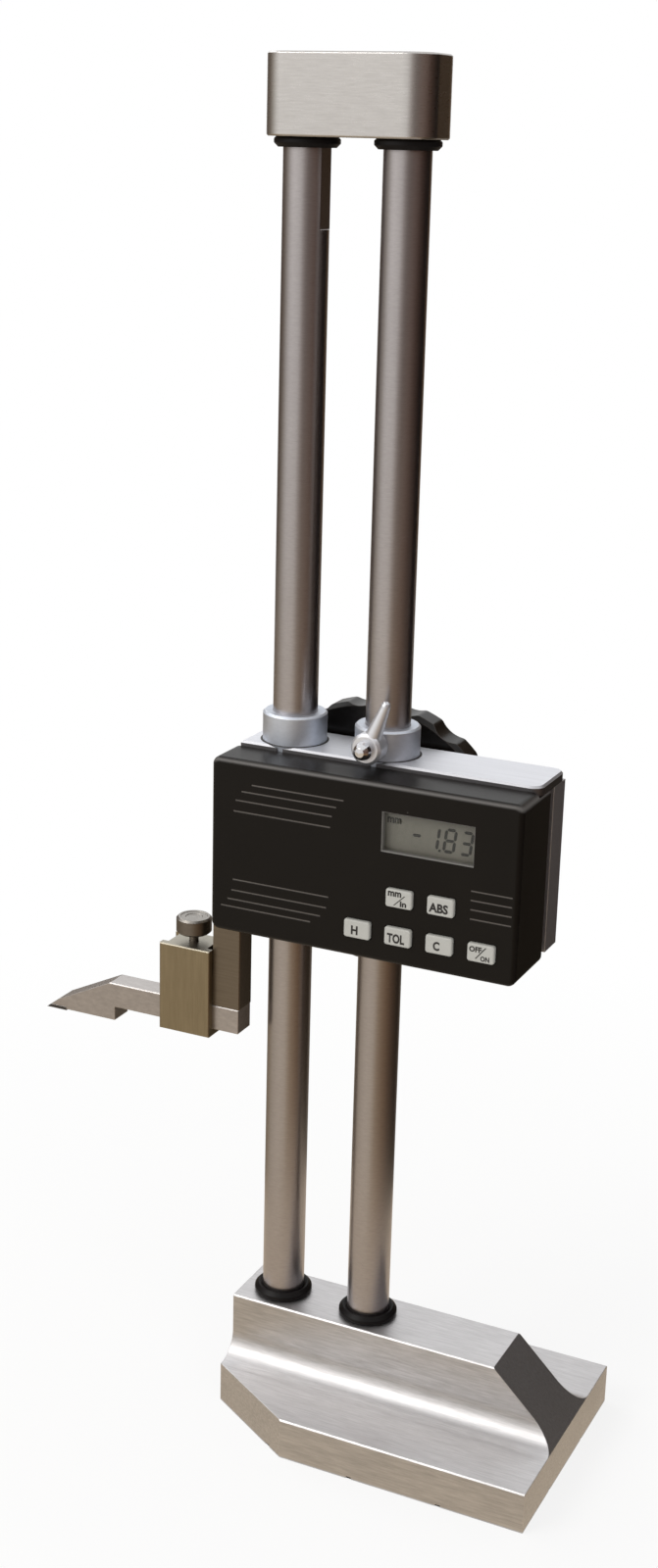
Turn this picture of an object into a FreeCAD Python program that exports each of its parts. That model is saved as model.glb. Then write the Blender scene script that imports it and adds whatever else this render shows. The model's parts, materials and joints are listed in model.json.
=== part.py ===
# Digital height gauge with two round columns, 0 to 300 mm.
# Frame: +Z up, X along the base, -Y towards the reader of the display.
# Origin: on the underside of the base, midway between the two column axes.
import FreeCAD, Part
import math
import os

import Sketcher
from FreeCAD import Placement, Rotation, Vector

# Every size in millimetres: name, value, what it is.
SIZES = [
    ("base_left", -31.0, "left end of the base, measured from the middle of the columns"),
    ("base_right", 94.5, "right end of the base"),
    ("base_width", 86.0, "width of the base flange"),
    ("flange_height", 15.0, "thickness of the base flange"),
    ("block_width", 25.0, "width of the raised block that carries the columns"),
    ("block_height", 38.5, "top of the raised block above the table"),
    ("block_end", 70.3, "where the top of the block gives way to the end slope"),
    ("base_fillet", 9.0, "hollow radius between block and flange"),
    ("corner_cut_length", 34.9, "length of the cut left corners of the flange"),
    ("corner_cut_width", 21.3, "width of the cut left corners of the flange"),
    ("base_edge", 0.5, "broken edges of base and cap"),
    ("foot_groove_width", 2.0, "relief grooves in the ground underside"),
    ("foot_groove_depth", 0.8, "depth of the relief grooves"),
    ("foot_groove_first", -2.8, "first cross groove"),
    ("foot_groove_pitch", 33.3, "distance between cross grooves"),
    ("foot_groove_side", 16.5, "distance of the long grooves from the middle"),
    ("column_diameter", 15.0, "ground columns"),
    ("column_spacing", 34.0, "between column axes"),
    ("column_seat", 20.0, "depth of the columns in the base"),
    ("cap_seat", 12.0, "depth of the columns in the cap"),
    ("seat_play", 0.02, "radial play of a fixed seat"),
    ("column_edge", 0.6, "chamfer at the column ends"),
    ("flat_depth", 0.86, "milled flat at the top of the left column"),
    ("flat_bottom", 414.0, "height of the ledge under the flat"),
    ("cap_underside", 441.5, "height of the cap's lower face"),
    ("cap_height", 24.6, "height of the cap"),
    ("cap_length", 56.4, "length of the cap"),
    ("cap_width", 24.8, "width of the cap"),
    ("cap_corner", 8.4, "upright corner radius of the cap"),
    ("bolt_diameter", 6.0, "socket screws that hold base and cap to the columns"),
    ("bolt_head", 10.0, "head diameter of those screws"),
    ("bolt_head_height", 6.0, "head height of those screws"),
    ("bolt_socket", 5.0, "hexagon socket across flats"),
    ("bolt_recess", 7.0, "depth of the head recesses"),
    ("bolt_reach", 9.0, "screw length inside a column"),
    ("tapping_spare", 2.0, "tapped holes deeper than the screws"),
    ("bolt_play", 0.3, "radial play round the screws"),
    ("buffer_diameter", 20.8, "rubber stop rings on the columns"),
    ("buffer_height", 3.15, "thickness of the stop rings"),
    ("buffer_round", 1.3, "rounding of the stop rings"),
    ("buffer_dish", 0.5, "dished inner face of the stop rings"),
    ("tooth_module", 1.0, "module of rack and pinions"),
    ("pinion_teeth", 12.0, "teeth on each pinion"),
    ("pressure_angle", 20.0, "pressure angle in degrees"),
    ("rack_addendum", 0.7, "rack tooth height above the pitch line, cut short to clear the pinion roots"),
    ("tooth_clearance", 0.2, "room between tips and roots"),
    ("tooth_backlash", 0.1, "thinning of each tooth"),
    ("rack_inset", 0.8, "rack tips below the skin of the column"),
    ("rack_depth", 4.2, "rack bar from tips to back"),
    ("rack_width", 5.0, "rack bar and pinion face width"),
    ("rack_teeth_below", 46.0, "rack teeth below the drive pinion"),
    ("rack_teeth_above", 65.0, "rack teeth above the drive pinion"),
    ("slider_bottom", 188.0, "lower face of the slider block as photographed"),
    ("slider_height", 56.8, "height of the slider block"),
    ("slider_left", -31.6, "left end of the slider block"),
    ("slider_right", 74.9, "right end of the slider block"),
    ("slider_rear", 12.85, "rear face of the slider block behind the column plane"),
    ("slider_front", 11.2, "front face of the slider block ahead of the column plane"),
    ("slider_edge", 0.5, "broken edges of the slider block"),
    ("column_room", 0.7, "radial room round the columns inside the block"),
    ("plate_height", 3.2, "thickness of the top plate"),
    ("plate_corner", 4.0, "right corners of the top plate"),
    ("plate_edge", 0.7, "bevel of the top plate"),
    ("plate_gap", 0.4, "gap between plate and guide collars"),
    ("collar_diameter", 21.7, "guide collars"),
    ("collar_rise", 10.1, "guide collars above the top plate"),
    ("collar_seat", 8.0, "guide collars inside the block"),
    ("collar_edge", 0.7, "bevel of the collar rim"),
    ("guide_play", 0.05, "radial running play on the columns"),
    ("lower_bush_seat", 16.0, "length of the lower guide bushes inside the block"),
    ("lower_bush_drop", 1.0, "lower guide bushes below the block"),
    ("drive_height", 25.0, "drive pinion axis above the slider's lower face"),
    ("encoder_offset_teeth", 5.0, "rack pitches between drive and encoder pinion"),
    ("chamber_play", 0.25, "room round the pinions in their bores"),
    ("chamber_depth", 3.2, "pinion bores beyond the column plane"),
    ("shaft_diameter", 6.0, "handwheel shaft"),
    ("shaft_play", 0.05, "radial running play of shafts"),
    ("pilot_depth", 4.5, "front bearing of the handwheel shaft"),
    ("bush_neck", 10.0, "slim part of the rear bush beside the column"),
    ("bush_step", 8.2, "where the rear bush grows to the bore of the chamber"),
    ("bush_start", 3.0, "inner end of the bushes from the column plane"),
    ("bush_flange", 20.0, "flange of the rear bush"),
    ("bush_flange_height", 2.4, "flange thickness"),
    ("encoder_shaft_diameter", 3.0, "shaft of the encoder pinion"),
    ("encoder_flange", 16.0, "flange of the front bush"),
    ("encoder_flange_height", 1.2, "its thickness"),
    ("encoder_disc_diameter", 18.0, "slotted encoder disc"),
    ("encoder_disc_height", 0.8, "its thickness"),
    ("encoder_slots", 18.0, "slots in the encoder disc"),
    ("encoder_slot_width", 0.8, "width of those slots"),
    ("encoder_slot_length", 1.8, "length of those slots"),
    ("encoder_slot_rim", 0.8, "rim outside the slots"),
    ("encoder_nose", 0.6, "shaft ahead of the disc"),
    ("encoder_disc_gap", 0.8, "disc ahead of the front bush"),
    ("wheel_diameter", 93.6, "handwheel over the lobes"),
    ("wheel_width", 10.0, "thickness of the handwheel rim"),
    ("wheel_gap", 3.15, "from the slider's rear face to the handwheel rim"),
    ("wheel_lobes", 18.0, "finger hollows round the rim"),
    ("wheel_hollow", 10.0, "radius of each finger hollow"),
    ("wheel_hollow_depth", 1.5, "depth of each finger hollow"),
    ("wheel_lobe_round", 2.6, "rounding of the lobes between the hollows"),
    ("wheel_phase", 3.0, "turn of the first hollow in degrees"),
    ("wheel_face_edge", 1.4, "slope between rim and front face"),
    ("wheel_back_edge", 1.2, "bevel of the rim at the back"),
    ("wheel_dish_diameter", 70.0, "recess in the back of the wheel"),
    ("wheel_dish_depth", 6.0, "depth of that recess"),
    ("wheel_dish_draft", 2.0, "how far the recess wall leans in"),
    ("wheel_hub", 18.0, "diameter of the hub"),
    ("wheel_hub_gap", 0.3, "gap between hub and bush flange"),
    ("hub_screw_diameter", 3.0, "screw that holds the wheel"),
    ("hub_screw_head", 5.4, "its head"),
    ("hub_screw_socket", 2.5, "its hexagon socket across flats"),
    ("hub_screw_reach", 7.0, "length of that screw in the shaft"),
    ("hub_screw_hole", 8.0, "depth of the tapped hole in the shaft"),
    ("hub_washer", 10.0, "washer under that screw"),
    ("hub_washer_height", 1.0, "thickness of the washer"),
    ("case_left", 2.7, "display case beyond the slider's left end"),
    ("case_right", 0.2, "display case beyond the slider's right end"),
    ("case_front", 26.65, "front of the display case ahead of the column plane"),
    ("case_rear", 1.9, "rear edge of the display case ahead of the column plane"),
    ("case_drop", 2.5, "display case below the slider block"),
    ("case_rise", 1.4, "display case above the slider block"),
    ("case_wall", 2.2, "wall of the display case"),
    ("case_corner", 2.8, "corner radius of the case seen from the front"),
    ("case_round", 1.8, "rounding of its front edges"),
    ("case_play", 0.15, "play between case and metal parts"),
    ("boss_diameter", 5.6, "screw bosses in the case"),
    ("boss_hole", 2.0, "pilot hole in the bosses"),
    ("boss_hole_depth", 7.0, "depth of the pilot holes"),
    ("case_screw_diameter", 2.5, "screws through the slider block into the bosses"),
    ("case_screw_core", 1.95, "screw thickness in the pilot holes"),
    ("case_screw_socket", 2.0, "hexagon socket across flats"),
    ("case_screw_left", 3.2, "left screw inside the slider's left end"),
    ("case_screw_left_height", 24.0, "left screw above the slider's lower face"),
    ("case_screw_low", 6.0, "middle screw above the slider's lower face"),
    ("case_screw_top", 3.8, "middle screw under the slider's upper face"),
    ("case_screw_right", 4.2, "right screws inside the block step"),
    ("case_screw_right_low", 16.5, "lower right screw above the slider's lower face"),
    ("case_screw_right_top", 5.0, "upper right screw under the slider's upper face"),
    ("case_screw_head", 5.0, "their heads"),
    ("case_screw_head_height", 2.0, "their head height"),
    ("case_screw_reach", 5.0, "length of screw in a boss"),
    ("window_left", 27.5, "display window"),
    ("window_width", 32.0, "display window"),
    ("window_bottom", 35.5, "display window above the slider's lower face"),
    ("window_height", 13.5, "display window"),
    ("lens_margin", 0.7, "lens beyond the window"),
    ("lens_height", 1.0, "lens thickness"),
    ("module_margin", 1.8, "display module beyond the window"),
    ("module_height", 3.2, "display module thickness"),
    ("key_width", 9.25, "key caps"),
    ("key_height", 6.2, "key caps"),
    ("key_round", 0.9, "key corner radius"),
    ("key_crown", 0.6, "rounded front edges of the keys"),
    ("key_play", 0.2, "gap round the key caps"),
    ("key_proud", 1.3, "key caps ahead of the case"),
    ("key_travel", 0.8, "key stroke"),
    ("key_flange", 0.8, "flange that keeps a key in the case"),
    ("key_first", 20.4, "first key column"),
    ("key_pitch", 14.43, "between key columns"),
    ("key_row_low", 7.7, "lower key row above the slider's lower face"),
    ("key_row_high", 20.8, "upper key row above the slider's lower face"),
    ("board_height", 1.6, "circuit board thickness"),
    ("board_left", 3.0, "left edge of the board"),
    ("board_margin", 2.0, "board inside the case walls"),
    ("mat_height", 1.2, "rubber key mat thickness"),
    ("mat_margin", 2.2, "key mat round the keys"),
    ("groove_width", 0.5, "decorative lines cut in the case"),
    ("groove_depth", 0.4, "depth of those lines"),
    ("line_left", -26.0, "left end of the first line"),
    ("line_right", 9.4, "right end of the first line"),
    ("line_pitch", 4.1, "distance between lines"),
    ("line_closing", 0.28, "how fast the lines draw together"),
    ("upper_lean_left", 0.73, "how fast the upper lines step in at the left"),
    ("upper_lean_right", 0.5, "how fast the upper lines step out at the right"),
    ("lower_lean_left", 0.48, "how fast the lower lines step out at the left"),
    ("lower_lean_right", 0.7, "how fast the lower lines step in at the right"),
    ("upper_line", 40.5, "first upper line above the slider's lower face"),
    ("lower_line", 16.5, "first lower line above the slider's lower face"),
    ("side_line", 18.3, "lowest side line above the slider's lower face"),
    ("side_line_left", 59.0, "left end of the side lines"),
    ("side_line_width", 14.0, "length of the side lines"),
    ("side_line_pitch", 3.13, "distance between side lines"),
    ("bay_left", 34.0, "electronics bay in the slider block"),
    ("bay_right", 64.0, "electronics bay in the slider block"),
    ("bay_floor", 3.0, "bay reaches this far behind the column plane"),
    ("bay_margin", 4.5, "bay inside the block at top and bottom"),
    ("battery_x", 56.0, "battery axis"),
    ("battery_diameter", 20.0, "coin cell"),
    ("battery_height", 3.2, "coin cell"),
    ("battery_cover", 23.0, "screwed battery cover"),
    ("battery_cover_height", 1.8, "its thickness"),
    ("coin_slot", 1.6, "coin slot in the cover"),
    ("jaw_width", 10.5, "drop arm of the jaw"),
    ("jaw_thickness", 8.8, "jaw bar front to back"),
    ("jaw_centre", 5.6, "jaw and scriber ahead of the column plane"),
    ("jaw_top", 50.0, "top of the jaw above the slider's lower face"),
    ("jaw_drop", 38.6, "jaw below the slider's lower face"),
    ("jaw_arm", 19.9, "clamping arm of the jaw"),
    ("jaw_arm_height", 12.3, "clamping arm of the jaw"),
    ("jaw_edge", 0.35, "broken edges of jaw, clamp and scriber"),
    ("jaw_screw_diameter", 4.0, "screws that hold the jaw to the block"),
    ("jaw_screw_head", 7.0, "their heads"),
    ("jaw_screw_head_height", 4.0, "their head height"),
    ("jaw_screw_low", 11.0, "lower jaw screw above the slider's lower face"),
    ("jaw_screw_pitch", 30.0, "between the jaw screws"),
    ("jaw_screw_reach", 3.6, "length of screw in the block"),
    ("jaw_screw_spare", 0.4, "tapped hole deeper than the screw"),
    ("jaw_screw_socket", 3.0, "hexagon socket across flats"),
    ("scriber_shank", 9.0, "square shank of the scriber"),
    ("scriber_gap", 0.05, "scriber under the jaw"),
    ("scriber_flush", 0.3, "shank end inside the jaw's right face"),
    ("scriber_slope", 84.0, "where the top of the scriber begins to slope"),
    ("scriber_break", 105.7, "where the slope steepens"),
    ("scriber_break_height", 10.7, "height lost down to that point"),
    ("scriber_tip", 110.9, "point of the scriber"),
    ("scriber_step", 82.1, "step on the underside"),
    ("scriber_step_height", 5.2, "height of that step"),
    ("carbide_length", 8.3, "carbide insert under the point"),
    ("carbide_height", 1.3, "thickness of the insert"),
    ("carbide_drop", 0.5, "insert below the steel"),
    ("clamp_width", 19.9, "clamp frame along the scriber"),
    ("clamp_cheek", 2.6, "cheeks of the clamp frame"),
    ("clamp_floor", 2.6, "bridge under the scriber"),
    ("clamp_rise", 8.5, "clamp frame above the jaw arm"),
    ("clamp_bridge", 5.6, "bridge that carries the thumb screw"),
    ("clamp_bridge_inset", 2.3, "bridge inside the cheeks at each end"),
    ("clamp_bridge_spare", 0.5, "cut at the ends beyond the bridge"),
    ("clamp_play", 0.08, "play round scriber and jaw arm"),
    ("thumb_thread", 3.3, "thumb screw shank"),
    ("thumb_neck", 3.4, "shank above the frame"),
    ("thumb_head", 12.5, "thumb screw head"),
    ("thumb_head_height", 6.0, "its height"),
    ("thumb_edge", 0.7, "bevel of the head"),
    ("thumb_ring", 0.25, "depth of the turned rings"),
    ("pad_diameter", 5.0, "pressure pad under the screw"),
    ("pad_height", 1.0, "its thickness"),
    ("lock_height", 5.6, "lock screw axis above the top plate"),
    ("lock_thread", 4.0, "lock screw"),
    ("lock_hub", 10.6, "hub of the lock lever"),
    ("lock_hub_tip", 8.8, "hub diameter at its front"),
    ("lock_hub_gap", 1.1, "hub ahead of the collar"),
    ("lock_hub_height", 6.2, "hub length"),
    ("lock_lean", 21.0, "lean of the lever to the right in degrees"),
    ("lock_length", 17.4, "hub axis to the lever's tip"),
    ("lock_root", 5.8, "lever diameter at the hub"),
    ("lock_tip", 3.1, "lever diameter at the tip"),
    ("lock_set", 3.0, "lever axis behind the hub's front face"),
    ("cap_nut", 6.2, "domed nut"),
    ("cap_nut_cover", 1.6, "thread room inside the domed nut"),
    ("lock_screw_end", 1.5, "lock screw ahead of the hub"),
    ("shoe_height", 1.4, "brass shoe between screw and column"),
    ("shoe_gap", 0.2, "shoe off the column while unlocked"),
]

doc = FreeCAD.newDocument("HeightGauge")
sheet = doc.addObject("Spreadsheet::Sheet", "dim")
for row, (alias, value, meaning) in enumerate(SIZES, 1):
    sheet.set(f"A{row}", meaning)
    sheet.set(f"B{row}", str(value))
    sheet.setAlias(f"B{row}", alias)
doc.recompute()

PARTS = []

# Places that several pieces share, as expressions on the sheet.
COLUMN_X = "dim.column_spacing / 2"
COLUMN_R = "dim.column_diameter / 2"
CAP_TOP = "dim.cap_underside + dim.cap_height"
RACK_TIP = "dim.column_spacing / 2 - dim.column_diameter / 2 + dim.rack_inset"
PITCH_R = "dim.tooth_module * dim.pinion_teeth / 2"
TIP_R = "(dim.tooth_module * dim.pinion_teeth / 2 + dim.tooth_module)"
PINION_X = f"({RACK_TIP} + dim.rack_addendum - {PITCH_R})"
DRIVE_Z = "(dim.slider_bottom + dim.drive_height)"
ENCODER_Z = f"({DRIVE_Z} + dim.encoder_offset_teeth * dim.tooth_module * pi)"
CHAMBER_R = f"({TIP_R} + dim.chamber_play)"
SLIDER_TOP = "(dim.slider_bottom + dim.slider_height)"
PLATE_TOP = f"({SLIDER_TOP} + dim.plate_height)"
COLLAR_R = "dim.collar_diameter / 2"
GUIDE_R = "dim.column_diameter / 2 + dim.guide_play"
CASE_LEFT = "(dim.slider_left - dim.case_left)"
CASE_RIGHT = "(dim.slider_right + dim.case_right)"
CASE_BOTTOM = "(dim.slider_bottom - dim.case_drop)"
CASE_TOP = f"({SLIDER_TOP} + dim.case_rise)"
CASE_INSIDE = "(dim.case_front - dim.case_wall)"
BLOCK_STEP = f"({CASE_RIGHT} - dim.case_wall - dim.case_play)"
JAW_LEFT = "(dim.slider_left - dim.jaw_width)"
JAW_BOTTOM = "(dim.slider_bottom - dim.jaw_drop)"
JAW_FRONT = "(dim.jaw_centre + dim.jaw_thickness / 2)"
ARM_TOP = f"({JAW_BOTTOM} + dim.jaw_arm_height)"
SHANK_TOP = f"({JAW_BOTTOM} - dim.scriber_gap)"
SHANK_BOTTOM = f"({SHANK_TOP} - dim.scriber_shank)"
TIP_BOTTOM = f"({SHANK_BOTTOM} - dim.scriber_step_height)"
CLAMP_TOP = f"({ARM_TOP} + dim.clamp_rise)"
CLAMP_X = f"({JAW_LEFT} - dim.clamp_play - dim.clamp_width / 2)"
LOCK_Z = f"({PLATE_TOP} + dim.lock_height)"
MODULE_FRONT = f"({CASE_INSIDE} - dim.lens_height)"
BOARD_FRONT = f"({MODULE_FRONT} - dim.module_height)"
PITCH = "(dim.tooth_module * pi)"
RACK_BOTTOM = f"({DRIVE_Z} - (dim.rack_teeth_below + 0.5) * {PITCH})"
RACK_TOP = f"({DRIVE_Z} + (dim.rack_teeth_above + 0.5) * {PITCH})"
NOSE_DROP = "(dim.scriber_shank + dim.scriber_step_height + dim.carbide_drop - dim.scriber_break_height)"
NOSE_RUN = f"((dim.scriber_tip - dim.scriber_break) * (1 - dim.carbide_height / {NOSE_DROP}))"

# Screws from the back of the slider into the case, and through the jaw into the slider.
CASE_SCREWS = [
    ("dim.slider_left + dim.case_screw_left", "dim.slider_bottom + dim.case_screw_left_height"),
    ("0", "dim.slider_bottom + dim.case_screw_low"),
    ("0", f"{SLIDER_TOP} - dim.case_screw_top"),
    (f"{BLOCK_STEP} - dim.case_screw_right", "dim.slider_bottom + dim.case_screw_right_low"),
    (f"{BLOCK_STEP} - dim.case_screw_right", f"{SLIDER_TOP} - dim.case_screw_right_top"),
]
JAW_SCREWS = [
    "dim.slider_bottom + dim.jaw_screw_low",
    "dim.slider_bottom + dim.jaw_screw_low + dim.jaw_screw_pitch",
]

# A cut that ends in the open reaches this far past the piece.
PAST = "1"


def size(expression):
    """value of an expression on the sheet, as a plain number"""
    return float(sheet.evalExpression(expression))


def body(label):
    """an empty body that becomes one named sub-part"""
    made = doc.addObject("PartDesign::Body", label)
    made.Label = label
    PARTS.append(made)
    return made


def solid(label, shape):
    """a sub-part whose shape is computed here"""
    made = doc.addObject("Part::Feature", label)
    made.Label = label
    made.Shape = shape
    PARTS.append(made)
    return made


def place(made, x="0", y="0", z="0", turn=None):
    """puts a sub-part where the sheet says, turned by an optional rotation"""
    if turn:
        made.Placement = Placement(Vector(0, 0, 0), turn)
    for axis, expression in zip("xyz", (x, y, z)):
        made.setExpression(f"Placement.Base.{axis}", expression)


def sketch(owner, role, lift="0"):
    """a sketch on one of the body's own origin planes, lifted along its normal"""
    plane = next(item for item in owner.Origin.OriginFeatures if item.Role == role)
    made = owner.newObject("Sketcher::SketchObject", f"{owner.Name}_sketch")
    made.AttachmentSupport = (plane, [""])
    made.MapMode = "FlatFace"
    made.setExpression("AttachmentOffset.Base.z", lift)
    return made


def tie(drawn, item, point, corner):
    """fixes one point of a sketch at two expressions"""
    for kind, expression in zip(("DistanceX", "DistanceY"), corner):
        rule = drawn.addConstraint(
            Sketcher.Constraint(kind, -1, 1, item, point, size(expression)))
        drawn.setExpression(f"Constraints[{rule}]", expression)


def outline(drawn, corners):
    """a closed outline of straight edges through corners given as expressions"""
    points = [Vector(size(x), size(y), 0) for x, y in corners]
    first = drawn.GeometryCount
    for start, end in zip(points, points[1:] + points[:1]):
        drawn.addGeometry(Part.LineSegment(start, end), False)
    count = len(points)
    for index in range(count):
        follower = first + (index + 1) % count
        drawn.addConstraint(Sketcher.Constraint("Coincident", first + index, 2, follower, 1))
    for index, corner in enumerate(corners):
        tie(drawn, first + index, 1, corner)


def rectangle(drawn, left, right, low, high):
    outline(drawn, [(left, low), (right, low), (right, high), (left, high)])


def circle(drawn, x, y, radius):
    item = drawn.addGeometry(
        Part.Circle(Vector(size(x), size(y), 0), Vector(0, 0, 1), size(radius)), False)
    tie(drawn, item, 3, (x, y))
    rule = drawn.addConstraint(Sketcher.Constraint("Radius", item, size(radius)))
    drawn.setExpression(f"Constraints[{rule}]", radius)


def pad(owner, drawn, length, against=False):
    """adds material along the sketch's normal, or against it"""
    made = owner.newObject("PartDesign::Pad", f"{owner.Name}_pad")
    made.Profile = drawn
    made.setExpression("Length", length)
    made.Reversed = against
    doc.recompute()
    return made


def checked_cut(owner, made, before):
    """stops the build when a cut has taken nothing away"""
    doc.recompute()
    if not owner.Shape.Volume < before:
        raise RuntimeError(f"{made.Name} cuts nothing")
    return made


def pocket(owner, drawn, length, along=False):
    """removes material against the sketch's normal, or along it"""
    before = owner.Shape.Volume
    made = owner.newObject("PartDesign::Pocket", f"{owner.Name}_pocket")
    made.Profile = drawn
    made.setExpression("Length", length)
    made.Reversed = along
    return checked_cut(owner, made, before)


def revolve(owner, drawn, axis="V_Axis"):
    made = owner.newObject("PartDesign::Revolution", f"{owner.Name}_turned")
    made.Profile = drawn
    made.ReferenceAxis = (drawn, [axis])
    made.Angle = 360
    doc.recompute()
    return made


def edges(feature, test):
    """names of the edges that a test picks"""
    found = [f"Edge{number}" for number, edge in enumerate(feature.Shape.Edges, 1) if test(edge)]
    if not found:
        raise RuntimeError(f"no edge of {feature.Name} fits")
    return found


def dress(owner, kind, feature, amount, test):
    """a fillet or chamfer on the edges that a test picks"""
    made = owner.newObject(f"PartDesign::{kind}", f"{owner.Name}_{kind.lower()}")
    made.Base = (feature, edges(feature, test))
    made.setExpression("Radius" if kind == "Fillet" else "Size", amount)
    doc.recompute()
    if "Invalid" in made.State:
        raise RuntimeError(f"{made.Name} fails: {made.getStatusString()}")
    return made


def is_line(edge, axis):
    """true for a straight edge parallel to an axis"""
    straight = isinstance(edge.Curve, Part.Line)
    return straight and abs(abs(edge.Curve.Direction.dot(axis)) - 1) < 1e-6


def near(value, expression, reach=0.01):
    return abs(value - size(expression)) < reach


def off_axis(edge):
    """distance of an edge's middle from the body's own Z axis"""
    return math.hypot(edge.CenterOfMass.x, edge.CenterOfMass.y)


def polar(owner, feature, count):
    """repeats a feature round the body's own Z axis"""
    made = owner.newObject("PartDesign::PolarPattern", f"{owner.Name}_pattern")
    made.Originals = [feature]
    axis = next(item for item in owner.Origin.OriginFeatures if item.Role == "Z_Axis")
    made.Axis = (axis, [""])
    made.Angle = 360
    made.setExpression("Occurrences", count)
    owner.Tip = made
    doc.recompute()
    return made


X, Y, Z = Vector(1, 0, 0), Vector(0, 1, 0), Vector(0, 0, 1)
FACING_FRONT = Rotation(X, 90)
FACING_REAR = Rotation(X, -90)
FACING_LEFT = Rotation(Y, -90)
FACING_DOWN = Rotation(X, 180)


def turned(label, profile):
    """a round sub-part about its own Z axis, from radius and height pairs"""
    made = body(label)
    drawn = sketch(made, "XZ_Plane")
    outline(drawn, profile)
    revolve(made, drawn)
    return made


def ring_profile(inner, outer, low, high):
    return [(inner, low), (outer, low), (outer, high), (inner, high)]


def base_block():
    """ground base: flange, raised block with hollow fillets, end slope, cut corners"""
    base = body("base_block")
    section = sketch(base, "YZ_Plane", "dim.base_left")
    half, block = "dim.base_width / 2", "dim.block_width / 2"
    outline(section, [
        (f"-{half}", "0"), (half, "0"), (half, "dim.flange_height"), (block, "dim.flange_height"),
        (block, "dim.block_height"), (f"-{block}", "dim.block_height"),
        (f"-{block}", "dim.flange_height"), (f"-{half}", "dim.flange_height")])
    bar = pad(base, section, "dim.base_right - dim.base_left")
    hollow = dress(base, "Fillet", bar, "dim.base_fillet", lambda edge: (
        is_line(edge, X)
        and near(edge.CenterOfMass.z, "dim.flange_height")
        and near(abs(edge.CenterOfMass.y), block)))
    slope = sketch(base, "XZ_Plane", half)
    outline(slope, [
        ("dim.block_end", "dim.block_height"),
        ("dim.base_right", "dim.flange_height"),
        ("dim.base_right + dim.block_height", "dim.flange_height"),
        ("dim.base_right + dim.block_height", "dim.block_height + dim.flange_height"),
        ("dim.block_end", "dim.block_height + dim.flange_height")])
    pocket(base, slope, "dim.base_width")
    corners = sketch(base, "XY_Plane", "dim.flange_height")
    for side in ("-", ""):
        outline(corners, [
            ("dim.base_left", f"{side}({half} - dim.corner_cut_width)"),
            ("dim.base_left + dim.corner_cut_length", f"{side}({half})"),
            ("dim.base_left", f"{side}({half} + dim.corner_cut_width)")])
    cut = pocket(base, corners, "dim.flange_height")
    dress(base, "Chamfer", cut, "dim.base_edge", lambda edge: (
        is_line(edge, X) and (
            near(edge.CenterOfMass.z, "dim.block_height")
            or (near(edge.CenterOfMass.z, "dim.flange_height")
                and near(abs(edge.CenterOfMass.y), half)))))
    seats = sketch(base, "XY_Plane", "dim.block_height")
    holes = sketch(base, "XY_Plane", "0")
    shanks = sketch(base, "XY_Plane", "0")
    for side in ("-", ""):
        circle(seats, f"{side}{COLUMN_X}", "0", f"{COLUMN_R} + dim.seat_play")
        circle(holes, f"{side}{COLUMN_X}", "0", "dim.bolt_head / 2 + dim.bolt_play")
        circle(shanks, f"{side}{COLUMN_X}", "0", "dim.bolt_diameter / 2 + dim.bolt_play")
    pocket(base, seats, "dim.column_seat")
    pocket(base, holes, "dim.bolt_recess", along=True)
    pocket(base, shanks, "dim.block_height - dim.column_seat", along=True)
    grooves = sketch(base, "XY_Plane", "0")
    for number in range(3):
        middle = f"(dim.foot_groove_first + {number} * dim.foot_groove_pitch)"
        rectangle(grooves, f"{middle} - dim.foot_groove_width / 2",
                  f"{middle} + dim.foot_groove_width / 2", f"-{half} - {PAST}", f"{half} + {PAST}")
    pocket(base, grooves, "dim.foot_groove_depth", along=True)
    lanes = sketch(base, "XY_Plane", "0")
    for side in ("-", ""):
        near_edge = f"{side}(dim.foot_groove_side - dim.foot_groove_width / 2)"
        far_edge = f"{side}(dim.foot_groove_side + dim.foot_groove_width / 2)"
        rectangle(lanes, f"dim.base_left - {PAST}", f"dim.base_right + {PAST}", near_edge, far_edge)
    pocket(base, lanes, "dim.foot_groove_depth", along=True)


def column(label, side):
    """ground column with a tapped hole in each end"""
    made = body(label)
    foot = "(dim.block_height - dim.column_seat)"
    head = "(dim.cap_underside + dim.cap_seat)"
    drawn = sketch(made, "XY_Plane", foot)
    circle(drawn, "0", "0", COLUMN_R)
    bar = pad(made, drawn, f"{head} - {foot}")
    dress(made, "Chamfer", bar, "dim.column_edge", lambda edge: isinstance(edge.Curve, Part.Circle))
    for height, upward in ((foot, True), (head, False)):
        tapping = sketch(made, "XY_Plane", height)
        circle(tapping, "0", "0", "dim.bolt_diameter / 2 + dim.seat_play")
        pocket(made, tapping, "dim.bolt_reach + dim.tapping_spare", along=upward)
    place(made, x=f"{side}{COLUMN_X}")
    return made


def columns():
    left = column("column_left", "-")
    flat = sketch(left, "XY_Plane", "dim.cap_underside + dim.cap_seat")
    rectangle(flat, f"{COLUMN_R} - dim.flat_depth", f"{COLUMN_R} + {PAST}", f"-{COLUMN_R}", COLUMN_R)
    pocket(left, flat, "dim.cap_underside + dim.cap_seat - dim.flat_bottom")
    right = column("column_right", "")
    slot = sketch(right, "XY_Plane", RACK_TOP)
    rectangle(slot, f"-{COLUMN_R} - {PAST}", f"{RACK_TIP} + dim.rack_depth - {COLUMN_X}",
              "-dim.rack_width / 2", "dim.rack_width / 2")
    pocket(right, slot, f"{RACK_TOP} - {RACK_BOTTOM}")


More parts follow.
